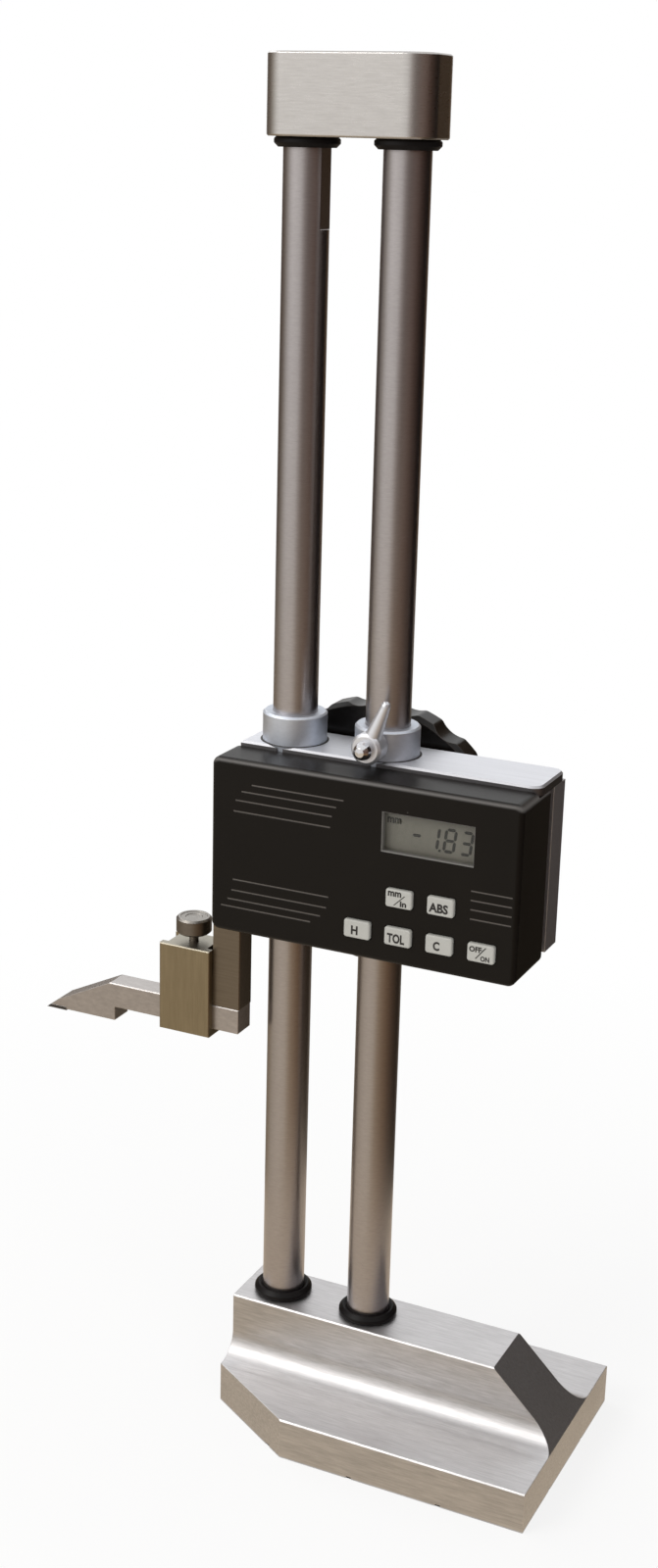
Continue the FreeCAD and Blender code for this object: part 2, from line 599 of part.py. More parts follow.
def column_rack():
    """toothed bar let into the right column, a tooth gap level with the drive pinion"""
    pitch = size(PITCH)
    slope = math.tan(math.radians(size("dim.pressure_angle")))
    tip = size(RACK_TIP)
    pitch_line = tip + size("dim.rack_addendum")
    root = pitch_line + size("dim.tooth_module + dim.tooth_clearance")
    back = tip + size("dim.rack_depth")
    half_gap = pitch / 4 + size("dim.tooth_backlash") / 2
    low, high = size(RACK_BOTTOM), size(RACK_TOP)
    points = [Vector(back, 0, low), Vector(tip, 0, low)]
    below, above = (round(size(f"dim.rack_teeth_{side}")) for side in ("below", "above"))
    for number in range(-below, above + 1):
        middle = size(DRIVE_Z) + number * pitch
        at_tip = half_gap + (pitch_line - tip) * slope
        at_root = half_gap - (root - pitch_line) * slope
        points += [
            Vector(tip, 0, middle - at_tip), Vector(root, 0, middle - at_root),
            Vector(root, 0, middle + at_root), Vector(tip, 0, middle + at_tip)]
    points += [Vector(tip, 0, high), Vector(back, 0, high)]
    width = size("dim.rack_width")
    profile = Part.Face(Part.makePolygon(points + points[:1]))
    profile.translate(Vector(0, -width / 2, 0))
    solid("column_rack", profile.extrude(Vector(0, width, 0)))


def pinion_wire():
    """involute pinion outline in the plane of its own axes, a tooth along local +X"""
    module, teeth = size("dim.tooth_module"), round(size("dim.pinion_teeth"))
    pitch_r = module * teeth / 2
    angle = math.radians(size("dim.pressure_angle"))
    base_r = pitch_r * math.cos(angle)
    root_r = pitch_r - size("dim.rack_addendum + dim.tooth_clearance")
    tip_r = pitch_r + module
    half = (math.pi / 2 * module - size("dim.tooth_backlash")) / 2 / pitch_r

    def half_angle(radius):
        roll = math.acos(min(1, base_r / radius))
        return half + (math.tan(angle) - angle) - (math.tan(roll) - roll)

    steps = 5
    radii = [base_r + (tip_r - base_r) * step / steps for step in range(steps + 1)]
    flank = [(root_r, half_angle(base_r))] + [(radius, half_angle(radius)) for radius in radii]
    points = []
    for tooth in range(teeth):
        middle = 2 * math.pi * tooth / teeth
        for radius, turn in [(r, -a) for r, a in flank] + flank[::-1]:
            toward = middle + turn
            points.append(Vector(radius * math.cos(toward), radius * math.sin(toward), 0))
    return Part.makePolygon(points + points[:1])


def pinion(label, bore, width):
    """spur pinion on a bore, centred on its own origin"""
    blank = Part.Face(pinion_wire()).extrude(Vector(0, 0, width))
    hole = Part.makeCylinder(bore, width)
    made = solid(label, blank.cut(hole))
    made.Placement = Placement(Vector(0, width / 2, 0), FACING_FRONT)
    return made


def socket_screw(diameter, head, head_height, length, socket):
    """cap screw along +Z with its head below the origin, hexagon socket in the head"""
    shank = Part.makeCylinder(diameter / 2, length)
    cap = Part.makeCylinder(head / 2, head_height, Vector(0, 0, -head_height))
    rim = [edge for edge in cap.Edges if isinstance(edge.Curve, Part.Circle)
           and edge.CenterOfMass.z < -head_height / 2]
    cap = cap.makeFillet(head_height / 10, rim)
    corner = socket / math.sqrt(3)
    turns = [math.pi / 3 * side for side in range(7)]
    ring = [Vector(corner * math.cos(turn), corner * math.sin(turn), -head_height) for turn in turns]
    recess = Part.Face(Part.makePolygon(ring)).extrude(Vector(0, 0, head_height / 2))
    return cap.fuse(shank).removeSplitter().cut(recess)


def group(label, shape, spots, turn):
    """identical pieces as separate solids in one sub-part"""
    copies = []
    for spot in spots:
        one = shape.copy()
        one.Placement = Placement(spot, turn)
        copies.append(one)
    return solid(label, Part.makeCompound(copies))


def frame_bolts():
    """screws from the underside of the base and from the top of the cap"""
    web = size("dim.block_height - dim.column_seat - dim.bolt_recess")
    sizes = [size(f"dim.bolt_{name}") for name in ("diameter", "head", "head_height")]
    bolt = socket_screw(*sizes, web + size("dim.bolt_reach"), size("dim.bolt_socket"))
    across = [-size(COLUMN_X), size(COLUMN_X)]
    floor = size("dim.bolt_recess")
    group("base_bolts", bolt, [Vector(x, 0, floor) for x in across], Rotation())
    web = size("dim.cap_height - dim.cap_seat - dim.bolt_recess")
    bolt = socket_screw(*sizes, web + size("dim.bolt_reach"), size("dim.bolt_socket"))
    floor = size(CAP_TOP) - size("dim.bolt_recess")
    group("cap_bolts", bolt, [Vector(x, 0, floor) for x in across], FACING_DOWN)


def buffer_ring(label, side, height, turn=None):
    """rubber stop ring with a dished face towards the slider"""
    made = body(label)
    drawn = sketch(made, "XZ_Plane")
    inner, outer = f"{COLUMN_R} + dim.seat_play", "dim.buffer_diameter / 2"
    rim = f"{outer} - dim.buffer_round"
    outline(drawn, [
        (inner, "0"), (f"{outer} - dim.buffer_round / 2", "0"), (outer, "dim.buffer_round / 2"),
        (outer, "dim.buffer_height - dim.buffer_round"), (rim, "dim.buffer_height"),
        (f"{rim} - dim.buffer_dish", "dim.buffer_height"),
        (inner, "dim.buffer_height - dim.buffer_dish")])
    turned_ring = revolve(made, drawn)
    dress(made, "Fillet", turned_ring, "dim.buffer_round / 2.5", lambda edge: (
        isinstance(edge.Curve, Part.Circle)
        and near(edge.Curve.Radius, outer)))
    place(made, x=f"{side}{COLUMN_X}", z=height, turn=turn)


def top_block():
    """cap that ties the column heads together"""
    cap = body("top_block")
    drawn = sketch(cap, "XY_Plane", "dim.cap_underside")
    rectangle(drawn, "-dim.cap_length / 2", "dim.cap_length / 2",
              "-dim.cap_width / 2", "dim.cap_width / 2")
    bar = pad(cap, drawn, "dim.cap_height")
    ends = dress(cap, "Fillet", bar, "dim.cap_corner", lambda edge: is_line(edge, Z))
    dress(cap, "Chamfer", ends, "dim.base_edge", lambda edge: (
        near(edge.CenterOfMass.z, "dim.cap_underside") or near(edge.CenterOfMass.z, CAP_TOP)))
    seats = sketch(cap, "XY_Plane", "dim.cap_underside")
    heads = sketch(cap, "XY_Plane", CAP_TOP)
    shanks = sketch(cap, "XY_Plane", CAP_TOP)
    for side in ("-", ""):
        circle(seats, f"{side}{COLUMN_X}", "0", f"{COLUMN_R} + dim.seat_play")
        circle(heads, f"{side}{COLUMN_X}", "0", "dim.bolt_head / 2 + dim.bolt_play")
        circle(shanks, f"{side}{COLUMN_X}", "0", "dim.bolt_diameter / 2 + dim.bolt_play")
    pocket(cap, seats, "dim.cap_seat", along=True)
    pocket(cap, heads, "dim.bolt_recess")
    pocket(cap, shanks, "dim.cap_height - dim.cap_seat")


def slider_body():
    """slider block bored for the columns, the two pinions, the battery and the jaw screws"""
    block = body("slider_body")
    rear = sketch(block, "XZ_Plane", "-dim.slider_rear")
    rectangle(rear, "dim.slider_left", "dim.slider_right", "dim.slider_bottom", SLIDER_TOP)
    pad(block, rear, "dim.slider_rear - dim.case_rear")
    front = sketch(block, "XZ_Plane", "-dim.case_rear")
    rectangle(front, "dim.slider_left", BLOCK_STEP, "dim.slider_bottom", SLIDER_TOP)
    full = pad(block, front, "dim.slider_front + dim.case_rear")
    dress(block, "Chamfer", full, "dim.slider_edge", lambda edge: (
        near(edge.CenterOfMass.y, "dim.slider_rear")
        or (is_line(edge, Z) and near(edge.CenterOfMass.x, "dim.slider_left"))))
    passage = sketch(block, "XY_Plane", SLIDER_TOP)
    upper = sketch(block, "XY_Plane", SLIDER_TOP)
    lower = sketch(block, "XY_Plane", "dim.slider_bottom")
    for side in ("-", ""):
        circle(passage, f"{side}{COLUMN_X}", "0", f"{COLUMN_R} + dim.column_room")
        circle(upper, f"{side}{COLUMN_X}", "0", f"{COLLAR_R} + dim.seat_play")
        circle(lower, f"{side}{COLUMN_X}", "0", f"{COLLAR_R} + dim.seat_play")
    pocket(block, passage, "dim.slider_height")
    pocket(block, upper, "dim.collar_seat")
    pocket(block, lower, "dim.lower_bush_seat", along=True)
    chamber = sketch(block, "XZ_Plane", "-dim.slider_rear")
    circle(chamber, PINION_X, DRIVE_Z, CHAMBER_R)
    pocket(block, chamber, "dim.slider_rear + dim.chamber_depth", along=True)
    pilot = sketch(block, "XZ_Plane", "dim.chamber_depth")
    circle(pilot, PINION_X, DRIVE_Z, "dim.shaft_diameter / 2 + dim.shaft_play")
    pocket(block, pilot, "dim.pilot_depth", along=True)
    chamber = sketch(block, "XZ_Plane", "dim.slider_front")
    circle(chamber, PINION_X, ENCODER_Z, CHAMBER_R)
    pocket(block, chamber, "dim.slider_front + dim.chamber_depth")
    pilot = sketch(block, "XZ_Plane", "-dim.chamber_depth")
    circle(pilot, PINION_X, ENCODER_Z, "dim.encoder_shaft_diameter / 2 + dim.shaft_play")
    pocket(block, pilot, "dim.pilot_depth")
    bay = sketch(block, "XZ_Plane", "dim.slider_front")
    rectangle(bay, "dim.bay_left", "dim.bay_right", "dim.slider_bottom + dim.bay_margin",
              f"{SLIDER_TOP} - dim.bay_margin")
    pocket(block, bay, "dim.slider_front + dim.bay_floor")
    well = sketch(block, "XZ_Plane", "-dim.slider_rear")
    circle(well, "dim.battery_x", DRIVE_Z, "dim.battery_diameter / 2 + dim.case_play")
    pocket(block, well, "dim.battery_height + dim.battery_cover_height", along=True)
    lid = sketch(block, "XZ_Plane", "-dim.slider_rear")
    circle(lid, "dim.battery_x", DRIVE_Z, "dim.battery_cover / 2 + dim.case_play")
    pocket(block, lid, "dim.battery_cover_height", along=True)
    screws = sketch(block, "XZ_Plane", "-dim.slider_rear")
    heads = sketch(block, "XZ_Plane", "-dim.slider_rear")
    for x, z in CASE_SCREWS:
        circle(screws, x, z, "dim.case_screw_diameter / 2 + dim.case_play")
        circle(heads, x, z, "dim.case_screw_head / 2 + dim.case_play")
    pocket(block, screws, "dim.slider_rear + dim.slider_front", along=True)
    pocket(block, heads, "dim.case_screw_head_height + dim.case_play", along=True)
    jaw_holes = sketch(block, "YZ_Plane", "dim.slider_left")
    for z in JAW_SCREWS:
        circle(jaw_holes, "-dim.jaw_centre", z, "dim.jaw_screw_diameter / 2 + dim.seat_play")
    pocket(block, jaw_holes, "dim.jaw_screw_reach + dim.jaw_screw_spare", along=True)


def top_plate():
    """bright plate over the slider block, bored round the guide collars"""
    plate = body("top_plate")
    drawn = sketch(plate, "XY_Plane", SLIDER_TOP)
    rectangle(drawn, "dim.slider_left", "dim.slider_right", "-dim.slider_front", "dim.slider_rear")
    slab = pad(plate, drawn, "dim.plate_height")
    ends = dress(plate, "Fillet", slab, "dim.plate_corner", lambda edge: (
        is_line(edge, Z) and near(edge.CenterOfMass.x, "dim.slider_right")))
    dress(plate, "Chamfer", ends, "dim.plate_edge", lambda edge: near(edge.CenterOfMass.z, PLATE_TOP))
    holes = sketch(plate, "XY_Plane", PLATE_TOP)
    for side in ("-", ""):
        circle(holes, f"{side}{COLUMN_X}", "0", f"{COLLAR_R} + dim.plate_gap")
    pocket(plate, holes, "dim.plate_height")


def guide_collar(label, side):
    """upper guide bush that stands out of the plate as a collar"""
    made = body(label)
    drawn = sketch(made, "XZ_Plane")
    low = f"({SLIDER_TOP} - dim.collar_seat)"
    high = f"({PLATE_TOP} + dim.collar_rise)"
    outline(drawn, ring_profile(GUIDE_R, COLLAR_R, low, high))
    ring = revolve(made, drawn)
    dress(made, "Chamfer", ring, "dim.collar_edge", lambda edge: (
        near(edge.CenterOfMass.z, high) and near(edge.Curve.Radius, COLLAR_R)))
    place(made, x=f"{side}{COLUMN_X}")
    return made


def guides():
    """collars above, plain bushes below, and the tapped hole of the lock screw"""
    guide_collar("guide_collar_left", "-")
    locked = guide_collar("guide_collar_right", "")
    hole = sketch(locked, "XZ_Plane", COLLAR_R)
    circle(hole, "0", LOCK_Z, "dim.lock_thread / 2 + dim.shaft_play")
    pocket(locked, hole, COLLAR_R)
    for label, side in (("lower_bush_left", "-"), ("lower_bush_right", "")):
        bush = turned(label, ring_profile(
            GUIDE_R, COLLAR_R, "dim.slider_bottom - dim.lower_bush_drop",
            "dim.slider_bottom + dim.lower_bush_seat"))
        place(bush, x=f"{side}{COLUMN_X}")


def drive():
    """handwheel shaft with its pinion, rear bush and the screw that holds the wheel"""
    shaft_r = "dim.shaft_diameter / 2"
    tail = "(dim.slider_rear + dim.wheel_gap + dim.wheel_width - dim.wheel_dish_depth)"
    nose = "-dim.chamber_depth - dim.pilot_depth + dim.case_play"
    tapped = f"{tail} - dim.hub_screw_hole"
    shaft = turned("pinion_shaft", [
        ("dim.hub_screw_diameter / 2", tapped), ("dim.hub_screw_diameter / 2", tail),
        (shaft_r, tail), (shaft_r, nose), ("0", nose), ("0", tapped)])
    place(shaft, x=PINION_X, z=DRIVE_Z, turn=FACING_REAR)
    gear = pinion("drive_pinion", size(shaft_r), size("dim.rack_width"))
    place_on(gear, PINION_X, DRIVE_Z)
    bore = f"{shaft_r} + dim.shaft_play"
    flange = "(dim.slider_rear + dim.bush_flange_height)"
    bush = turned("pinion_bush", [
        (bore, "dim.bush_start"), ("dim.bush_neck / 2", "dim.bush_start"),
        ("dim.bush_neck / 2", "dim.bush_step"), (f"{CHAMBER_R} - dim.seat_play", "dim.bush_step"),
        (f"{CHAMBER_R} - dim.seat_play", "dim.slider_rear"), ("dim.bush_flange / 2", "dim.slider_rear"),
        ("dim.bush_flange / 2", flange), (bore, flange)])
    place(bush, x=PINION_X, z=DRIVE_Z, turn=FACING_REAR)
    washer = turned("wheel_washer", ring_profile(
        "dim.hub_screw_diameter / 2 + dim.case_play", "dim.hub_washer / 2",
        tail, f"{tail} + dim.hub_washer_height"))
    place(washer, x=PINION_X, z=DRIVE_Z, turn=FACING_REAR)
    screw = socket_screw(size("dim.hub_screw_diameter"), size("dim.hub_screw_head"),
                         size("dim.hub_screw_diameter"),
                         size("dim.hub_screw_reach + dim.hub_washer_height"),
                         size("dim.hub_screw_socket"))
    spot = Vector(size(PINION_X), size(f"{tail} + dim.hub_washer_height"), size(DRIVE_Z))
    group("wheel_screw", screw, [spot], FACING_FRONT)


def place_on(made, x, z):
    """moves a computed piece to a pinion axis and keeps its own offset along Y"""
    made.setExpression("Placement.Base.x", x)
    made.setExpression("Placement.Base.z", z)


def handwheel():
    """black feed wheel: sloped front rim, shallow finger hollows, dished back, hub"""
    wheel = body("handwheel")
    rim_r = "dim.wheel_diameter / 2"
    front = "(dim.slider_rear + dim.wheel_gap)"
    back = f"({front} + dim.wheel_width)"
    hub_front = "(dim.slider_rear + dim.bush_flange_height + dim.wheel_hub_gap)"
    bore = "dim.shaft_diameter / 2"
    drawn = sketch(wheel, "XZ_Plane")
    outline(drawn, [
        (bore, hub_front), ("dim.wheel_hub / 2", hub_front), ("dim.wheel_hub / 2", front),
        (f"{rim_r} - dim.wheel_face_edge", front), (rim_r, f"{front} + dim.wheel_face_edge"),
        (rim_r, back), ("dim.wheel_dish_diameter / 2", back),
        ("dim.wheel_dish_diameter / 2 - dim.wheel_dish_draft", f"{back} - dim.wheel_dish_depth"),
        (bore, f"{back} - dim.wheel_dish_depth")])
    revolve(wheel, drawn)
    hollow = sketch(wheel, "XY_Plane", back)
    circle(hollow, f"{rim_r} + dim.wheel_hollow - dim.wheel_hollow_depth", "0", "dim.wheel_hollow")
    cut = pocket(wheel, hollow, "dim.wheel_width")
    ring = polar(wheel, cut, "dim.wheel_lobes")
    lobes = dress(wheel, "Fillet", ring, "dim.wheel_lobe_round", lambda edge: (
        is_line(edge, Z) and near(off_axis(edge), rim_r)))
    dress(wheel, "Chamfer", lobes, "dim.wheel_back_edge", lambda edge: (
        near(edge.CenterOfMass.z, back)
        and off_axis(edge) > size(f"{rim_r} - 2 * dim.wheel_hollow_depth")))
    place(wheel, x=PINION_X, z=DRIVE_Z, turn=FACING_REAR * Rotation(Z, size("dim.wheel_phase")))


def encoder():
    """second pinion on the same rack, its shaft, bush and slotted disc"""
    shaft_r = "dim.encoder_shaft_diameter / 2"
    nose = "(dim.slider_front + dim.encoder_flange_height + dim.encoder_disc_gap)"
    tail = "-dim.chamber_depth - dim.pilot_depth + dim.case_play"
    end = f"{nose} + dim.encoder_disc_height + dim.encoder_nose"
    shaft = turned("encoder_shaft", [("0", tail), (shaft_r, tail), (shaft_r, end), ("0", end)])
    place(shaft, x=PINION_X, z=ENCODER_Z, turn=FACING_FRONT)
    gear = pinion("encoder_pinion", size(shaft_r), size("dim.rack_width"))
    place_on(gear, PINION_X, ENCODER_Z)
    bore = f"{shaft_r} + dim.shaft_play"
    flange = "(dim.slider_front + dim.encoder_flange_height)"
    bush = turned("encoder_bush", [
        (bore, "dim.bush_start"), ("dim.bush_neck / 2", "dim.bush_start"),
        ("dim.bush_neck / 2", "dim.bush_step"), (f"{CHAMBER_R} - dim.seat_play", "dim.bush_step"),
        (f"{CHAMBER_R} - dim.seat_play", "dim.slider_front"), ("dim.encoder_flange / 2", "dim.slider_front"),
        ("dim.encoder_flange / 2", flange), (bore, flange)])
    place(bush, x=PINION_X, z=ENCODER_Z, turn=FACING_FRONT)
    disc = body("encoder_disc")
    drawn = sketch(disc, "XY_Plane", nose)
    circle(drawn, "0", "0", "dim.encoder_disc_diameter / 2")
    circle(drawn, "0", "0", shaft_r)
    pad(disc, drawn, "dim.encoder_disc_height")
    slot = sketch(disc, "XY_Plane", f"{nose} + dim.encoder_disc_height")
    rim = "dim.encoder_disc_diameter / 2 - dim.encoder_slot_rim"
    rectangle(slot, f"{rim} - dim.encoder_slot_length", rim,
              "-dim.encoder_slot_width / 2", "dim.encoder_slot_width / 2")
    polar(disc, pocket(disc, slot, "dim.encoder_disc_height"), "dim.encoder_slots")
    place(disc, x=PINION_X, z=ENCODER_Z, turn=FACING_FRONT)


def key_spots():
    """column and row of each key: two above, four below"""
    low = "(dim.slider_bottom + dim.key_row_low)"
    high = "(dim.slider_bottom + dim.key_row_high)"
    spots = []
    for name, step, row in (
            ("key_units", 1, high), ("key_absolute", 2, high), ("key_hold", 0, low),
            ("key_tolerance", 1, low), ("key_clear", 2, low), ("key_power", 3, low)):
        spots.append((name, f"(dim.key_first + {step} * dim.key_pitch)", row))
    return spots


def display_case():
    """moulded shell, open at the back, over the front of the slider block"""
    case = body("display_case")
    drawn = sketch(case, "XZ_Plane", "dim.case_rear")
    rectangle(drawn, CASE_LEFT, CASE_RIGHT, CASE_BOTTOM, CASE_TOP)
    blank = pad(case, drawn, "dim.case_front - dim.case_rear")
    corners = dress(case, "Fillet", blank, "dim.case_corner", lambda edge: is_line(edge, Y))
    dress(case, "Fillet", corners, "dim.case_round", lambda edge: (
        near(edge.CenterOfMass.y, "-dim.case_front")))
    inner = (f"{CASE_LEFT} + dim.case_wall", f"{CASE_RIGHT} - dim.case_wall",
             f"{CASE_BOTTOM} + dim.case_wall")
    hollow = sketch(case, "XZ_Plane", "dim.case_rear")
    rectangle(hollow, *inner, f"{CASE_TOP} - dim.case_wall")
    pocket(case, hollow, f"{CASE_INSIDE} - dim.case_rear", along=True)
    mouth = sketch(case, "XZ_Plane", "dim.case_rear")
    rectangle(mouth, *inner, f"{CASE_TOP} + {PAST}")
    pocket(case, mouth, "dim.slider_front + dim.case_play - dim.case_rear", along=True)
    roof = sketch(case, "XZ_Plane", "dim.case_rear")
    rectangle(roof, f"{CASE_LEFT} - {PAST}", f"{CASE_RIGHT} + {PAST}",
              f"{SLIDER_TOP} - dim.case_play", f"{CASE_TOP} + {PAST}")
    pocket(case, roof, "dim.slider_front + dim.case_play - dim.case_rear", along=True)
    side = sketch(case, "XZ_Plane", "dim.case_rear")
    rectangle(side, f"{CASE_LEFT} - {PAST}", "dim.slider_left + dim.case_play",
              f"{CASE_BOTTOM} - {PAST}", f"{CASE_TOP} + {PAST}")
    pocket(case, side, f"{JAW_FRONT} + dim.case_play - dim.case_rear", along=True)
    notches = sketch(case, "XY_Plane", f"{CASE_BOTTOM} + dim.case_wall")
    for way in ("-", ""):
        circle(notches, f"{way}{COLUMN_X}", "0", f"{COLLAR_R} + dim.plate_gap")
    pocket(case, notches, f"dim.case_wall + {PAST}")
    bosses = sketch(case, "XZ_Plane", "dim.slider_front")
    holes = sketch(case, "XZ_Plane", "dim.slider_front")
    for x, z in CASE_SCREWS:
        circle(bosses, x, z, "dim.boss_diameter / 2")
        circle(holes, x, z, "dim.boss_hole / 2")
    pad(case, bosses, f"{CASE_INSIDE} - dim.slider_front")
    pocket(case, holes, "dim.boss_hole_depth", along=True)
    openings = sketch(case, "XZ_Plane", "dim.case_front")
    low = "(dim.slider_bottom + dim.window_bottom)"
    rectangle(openings, "dim.window_left", "dim.window_left + dim.window_width",
              low, f"{low} + dim.window_height")
    wide, tall = "(dim.key_width / 2 + dim.key_play)", "(dim.key_height / 2 + dim.key_play)"
    for _, x, z in key_spots():
        rectangle(openings, f"{x} - {wide}", f"{x} + {wide}", f"{z} - {tall}", f"{z} + {tall}")
    pierced = pocket(case, openings, "dim.case_wall")
    dress(case, "Fillet", pierced, "dim.key_round", lambda edge: is_line(edge, Y) and any(
        near(abs(edge.CenterOfMass.x - size(x)), wide) and near(abs(edge.CenterOfMass.z - size(z)), tall)
        for _, x, z in key_spots()))
    case_lines(case)


def case_lines(case):
    """two fans of fine lines on the left and four short lines on the right"""
    lines = sketch(case, "XZ_Plane", "dim.case_front")
    for number in range(4):
        square = number ** 2
        rise = f"({number} * dim.line_pitch - {square} * dim.line_closing)"
        fine_line(lines, f"dim.line_left + {square} * dim.upper_lean_left",
                  f"dim.line_right + {square} * dim.upper_lean_right",
                  f"(dim.slider_bottom + dim.upper_line + {rise})")
        fine_line(lines, f"dim.line_left - {square} * dim.lower_lean_left",
                  f"dim.line_right - {square} * dim.lower_lean_right",
                  f"(dim.slider_bottom + dim.lower_line - {rise})")
        short = f"(dim.slider_bottom + dim.side_line + {number} * dim.side_line_pitch)"
        fine_line(lines, "dim.side_line_left", "dim.side_line_left + dim.side_line_width", short)
    pocket(case, lines, "dim.groove_depth")


def fine_line(drawn, left, right, height):
    rectangle(drawn, left, right,
              f"{height} - dim.groove_width / 2", f"{height} + dim.groove_width / 2")


def key_cap(label, x, z):
    """one push key with a retaining flange behind the case wall"""
    made = body(label)
    wide, tall = "dim.key_width / 2", "dim.key_height / 2"
    face = "(dim.case_front + dim.key_proud)"
    flange = f"({CASE_INSIDE} - dim.key_play)"
    drawn = sketch(made, "XY_Plane", flange)
    rectangle(drawn, f"-{wide}", wide, f"-{tall}", tall)
    stem = pad(made, drawn, f"{face} - {flange}")
    corners = dress(made, "Fillet", stem, "dim.key_round", lambda edge: is_line(edge, Z))
    dress(made, "Fillet", corners, "dim.key_crown", lambda edge: near(edge.CenterOfMass.z, face))
    drawn = sketch(made, "XY_Plane", flange)
    edge = "dim.key_flange"
    rectangle(drawn, f"-{wide} - {edge}", f"{wide} + {edge}", f"-{tall} - {edge}", f"{tall} + {edge}")
    pad(made, drawn, "dim.key_flange", against=True)
    place(made, x=x, z=z, turn=FACING_FRONT)


def slab(label, left, right, low, high, front, depth):
    """a flat rectangular piece behind the front wall, its front face given ahead of the columns"""
    made = body(label)
    drawn = sketch(made, "XZ_Plane", front)
    rectangle(drawn, left, right, low, high)
    pad(made, drawn, depth, against=True)
    return made


def electronics():
    """lens, display module, board, key mat and coin cell"""
    low = "(dim.slider_bottom + dim.window_bottom)"
    high = f"({low} + dim.window_height)"
    right = "(dim.window_left + dim.window_width)"
    slab("display_lens", "dim.window_left - dim.lens_margin", f"{right} + dim.lens_margin",
         f"{low} - dim.lens_margin", f"{high} + dim.lens_margin", CASE_INSIDE, "dim.lens_height")
    slab("display_module", "dim.window_left - dim.module_margin", f"{right} + dim.module_margin",
         f"{low} - dim.module_margin", f"{high} + dim.module_margin", MODULE_FRONT, "dim.module_height")
    inside = "dim.case_wall + dim.board_margin"
    board = slab("circuit_board", "dim.board_left", f"{CASE_RIGHT} - ({inside})",
                 f"{CASE_BOTTOM} + {inside}", f"{CASE_TOP} - ({inside})", BOARD_FRONT, "dim.board_height")
    clear = sketch(board, "XZ_Plane", BOARD_FRONT)
    for x, z in CASE_SCREWS[1:]:
        circle(clear, x, z, "dim.boss_diameter / 2 + dim.plate_gap")
    pocket(board, clear, "dim.board_height")
    top = "(dim.slider_bottom + dim.key_row_low + dim.key_height / 2 + dim.mat_margin)"
    mat = slab("key_mat", "dim.key_first - dim.key_width / 2 - dim.mat_margin",
               "dim.key_first + 3 * dim.key_pitch + dim.key_width / 2",
               "dim.slider_bottom + dim.key_row_low - dim.key_height / 2 - dim.mat_margin", top,
               f"{BOARD_FRONT} + dim.mat_height", "dim.mat_height")
    upper = sketch(mat, "XZ_Plane", f"{BOARD_FRONT} + dim.mat_height")
    rectangle(upper, "dim.key_first + dim.key_pitch - dim.key_width / 2 - dim.mat_margin",
              "dim.key_first + 2 * dim.key_pitch + dim.key_width / 2 + dim.mat_margin", f"{top} - {PAST}",
              "dim.slider_bottom + dim.key_row_high + dim.key_height / 2 + dim.mat_margin")
    pad(mat, upper, "dim.mat_height", against=True)
    cell = turned("battery", ring_profile("0", "dim.battery_diameter / 2", "0", "dim.battery_height"))
    place(cell, x="dim.battery_x", y="dim.slider_rear - dim.battery_cover_height - dim.battery_height",
          z=DRIVE_Z, turn=FACING_REAR)
    lid = turned("battery_cover", ring_profile(
        "0", "dim.battery_cover / 2", "0", "dim.battery_cover_height"))
    slot = sketch(lid, "XY_Plane", "dim.battery_cover_height")
    rectangle(slot, "-dim.battery_cover / 3", "dim.battery_cover / 3",
              "-dim.coin_slot / 2", "dim.coin_slot / 2")
    pocket(lid, slot, "dim.battery_cover_height / 2")
    place(lid, x="dim.battery_x", y="dim.slider_rear - dim.battery_cover_height",
          z=DRIVE_Z, turn=FACING_REAR)


def case_screws():
    """screws from the rear of the slider block into the bosses of the case"""
    head = size("dim.case_screw_head_height")
    length = size("dim.slider_rear + dim.slider_front + dim.case_screw_reach") - head
    screw = socket_screw(size("dim.case_screw_core"), size("dim.case_screw_head"), head, length,
                         size("dim.case_screw_socket"))
    rear = size("dim.slider_rear") - head
    spots = [Vector(size(x), rear, size(z)) for x, z in CASE_SCREWS]
    group("case_screws", screw, spots, FACING_FRONT)


def jaw():
    """L-shaped jaw: drop arm screwed to the slider's left end, clamping arm above the scriber"""
    made = body("jaw_bar")
    drawn = sketch(made, "XZ_Plane", "dim.jaw_centre - dim.jaw_thickness / 2")
    top = "dim.slider_bottom + dim.jaw_top"
    outline(drawn, [
        (f"{JAW_LEFT} - dim.jaw_arm", JAW_BOTTOM), ("dim.slider_left", JAW_BOTTOM), ("dim.slider_left", top),
        (JAW_LEFT, top), (JAW_LEFT, ARM_TOP), (f"{JAW_LEFT} - dim.jaw_arm", ARM_TOP)])
    bar = pad(made, drawn, "dim.jaw_thickness")
    dress(made, "Chamfer", bar, "dim.jaw_edge", lambda edge: (
        (is_line(edge, X) or is_line(edge, Z)) and near(edge.CenterOfMass.y, f"-{JAW_FRONT}")
        and edge.CenterOfMass.x > size(f"{JAW_LEFT} + dim.jaw_edge")))
    holes = sketch(made, "YZ_Plane", JAW_LEFT)
    heads = sketch(made, "YZ_Plane", JAW_LEFT)
    for z in JAW_SCREWS:
        circle(holes, "-dim.jaw_centre", z, "dim.jaw_screw_diameter / 2 + dim.case_play")
        circle(heads, "-dim.jaw_centre", z, "dim.jaw_screw_head / 2 + dim.case_play")
    pocket(made, holes, "dim.jaw_width", along=True)
    pocket(made, heads, "dim.jaw_screw_head_height + dim.case_play", along=True)
    head = size("dim.jaw_screw_head_height")
    screw = socket_screw(size("dim.jaw_screw_diameter"), size("dim.jaw_screw_head"), head,
                         size("dim.jaw_width - dim.case_play + dim.jaw_screw_reach") - head,
                         size("dim.jaw_screw_socket"))
    spots = [Vector(size(JAW_LEFT) + head + size("dim.case_play"), -size("dim.jaw_centre"), size(z))
             for z in JAW_SCREWS]
    group("jaw_screws", screw, spots, Rotation(Y, 90))


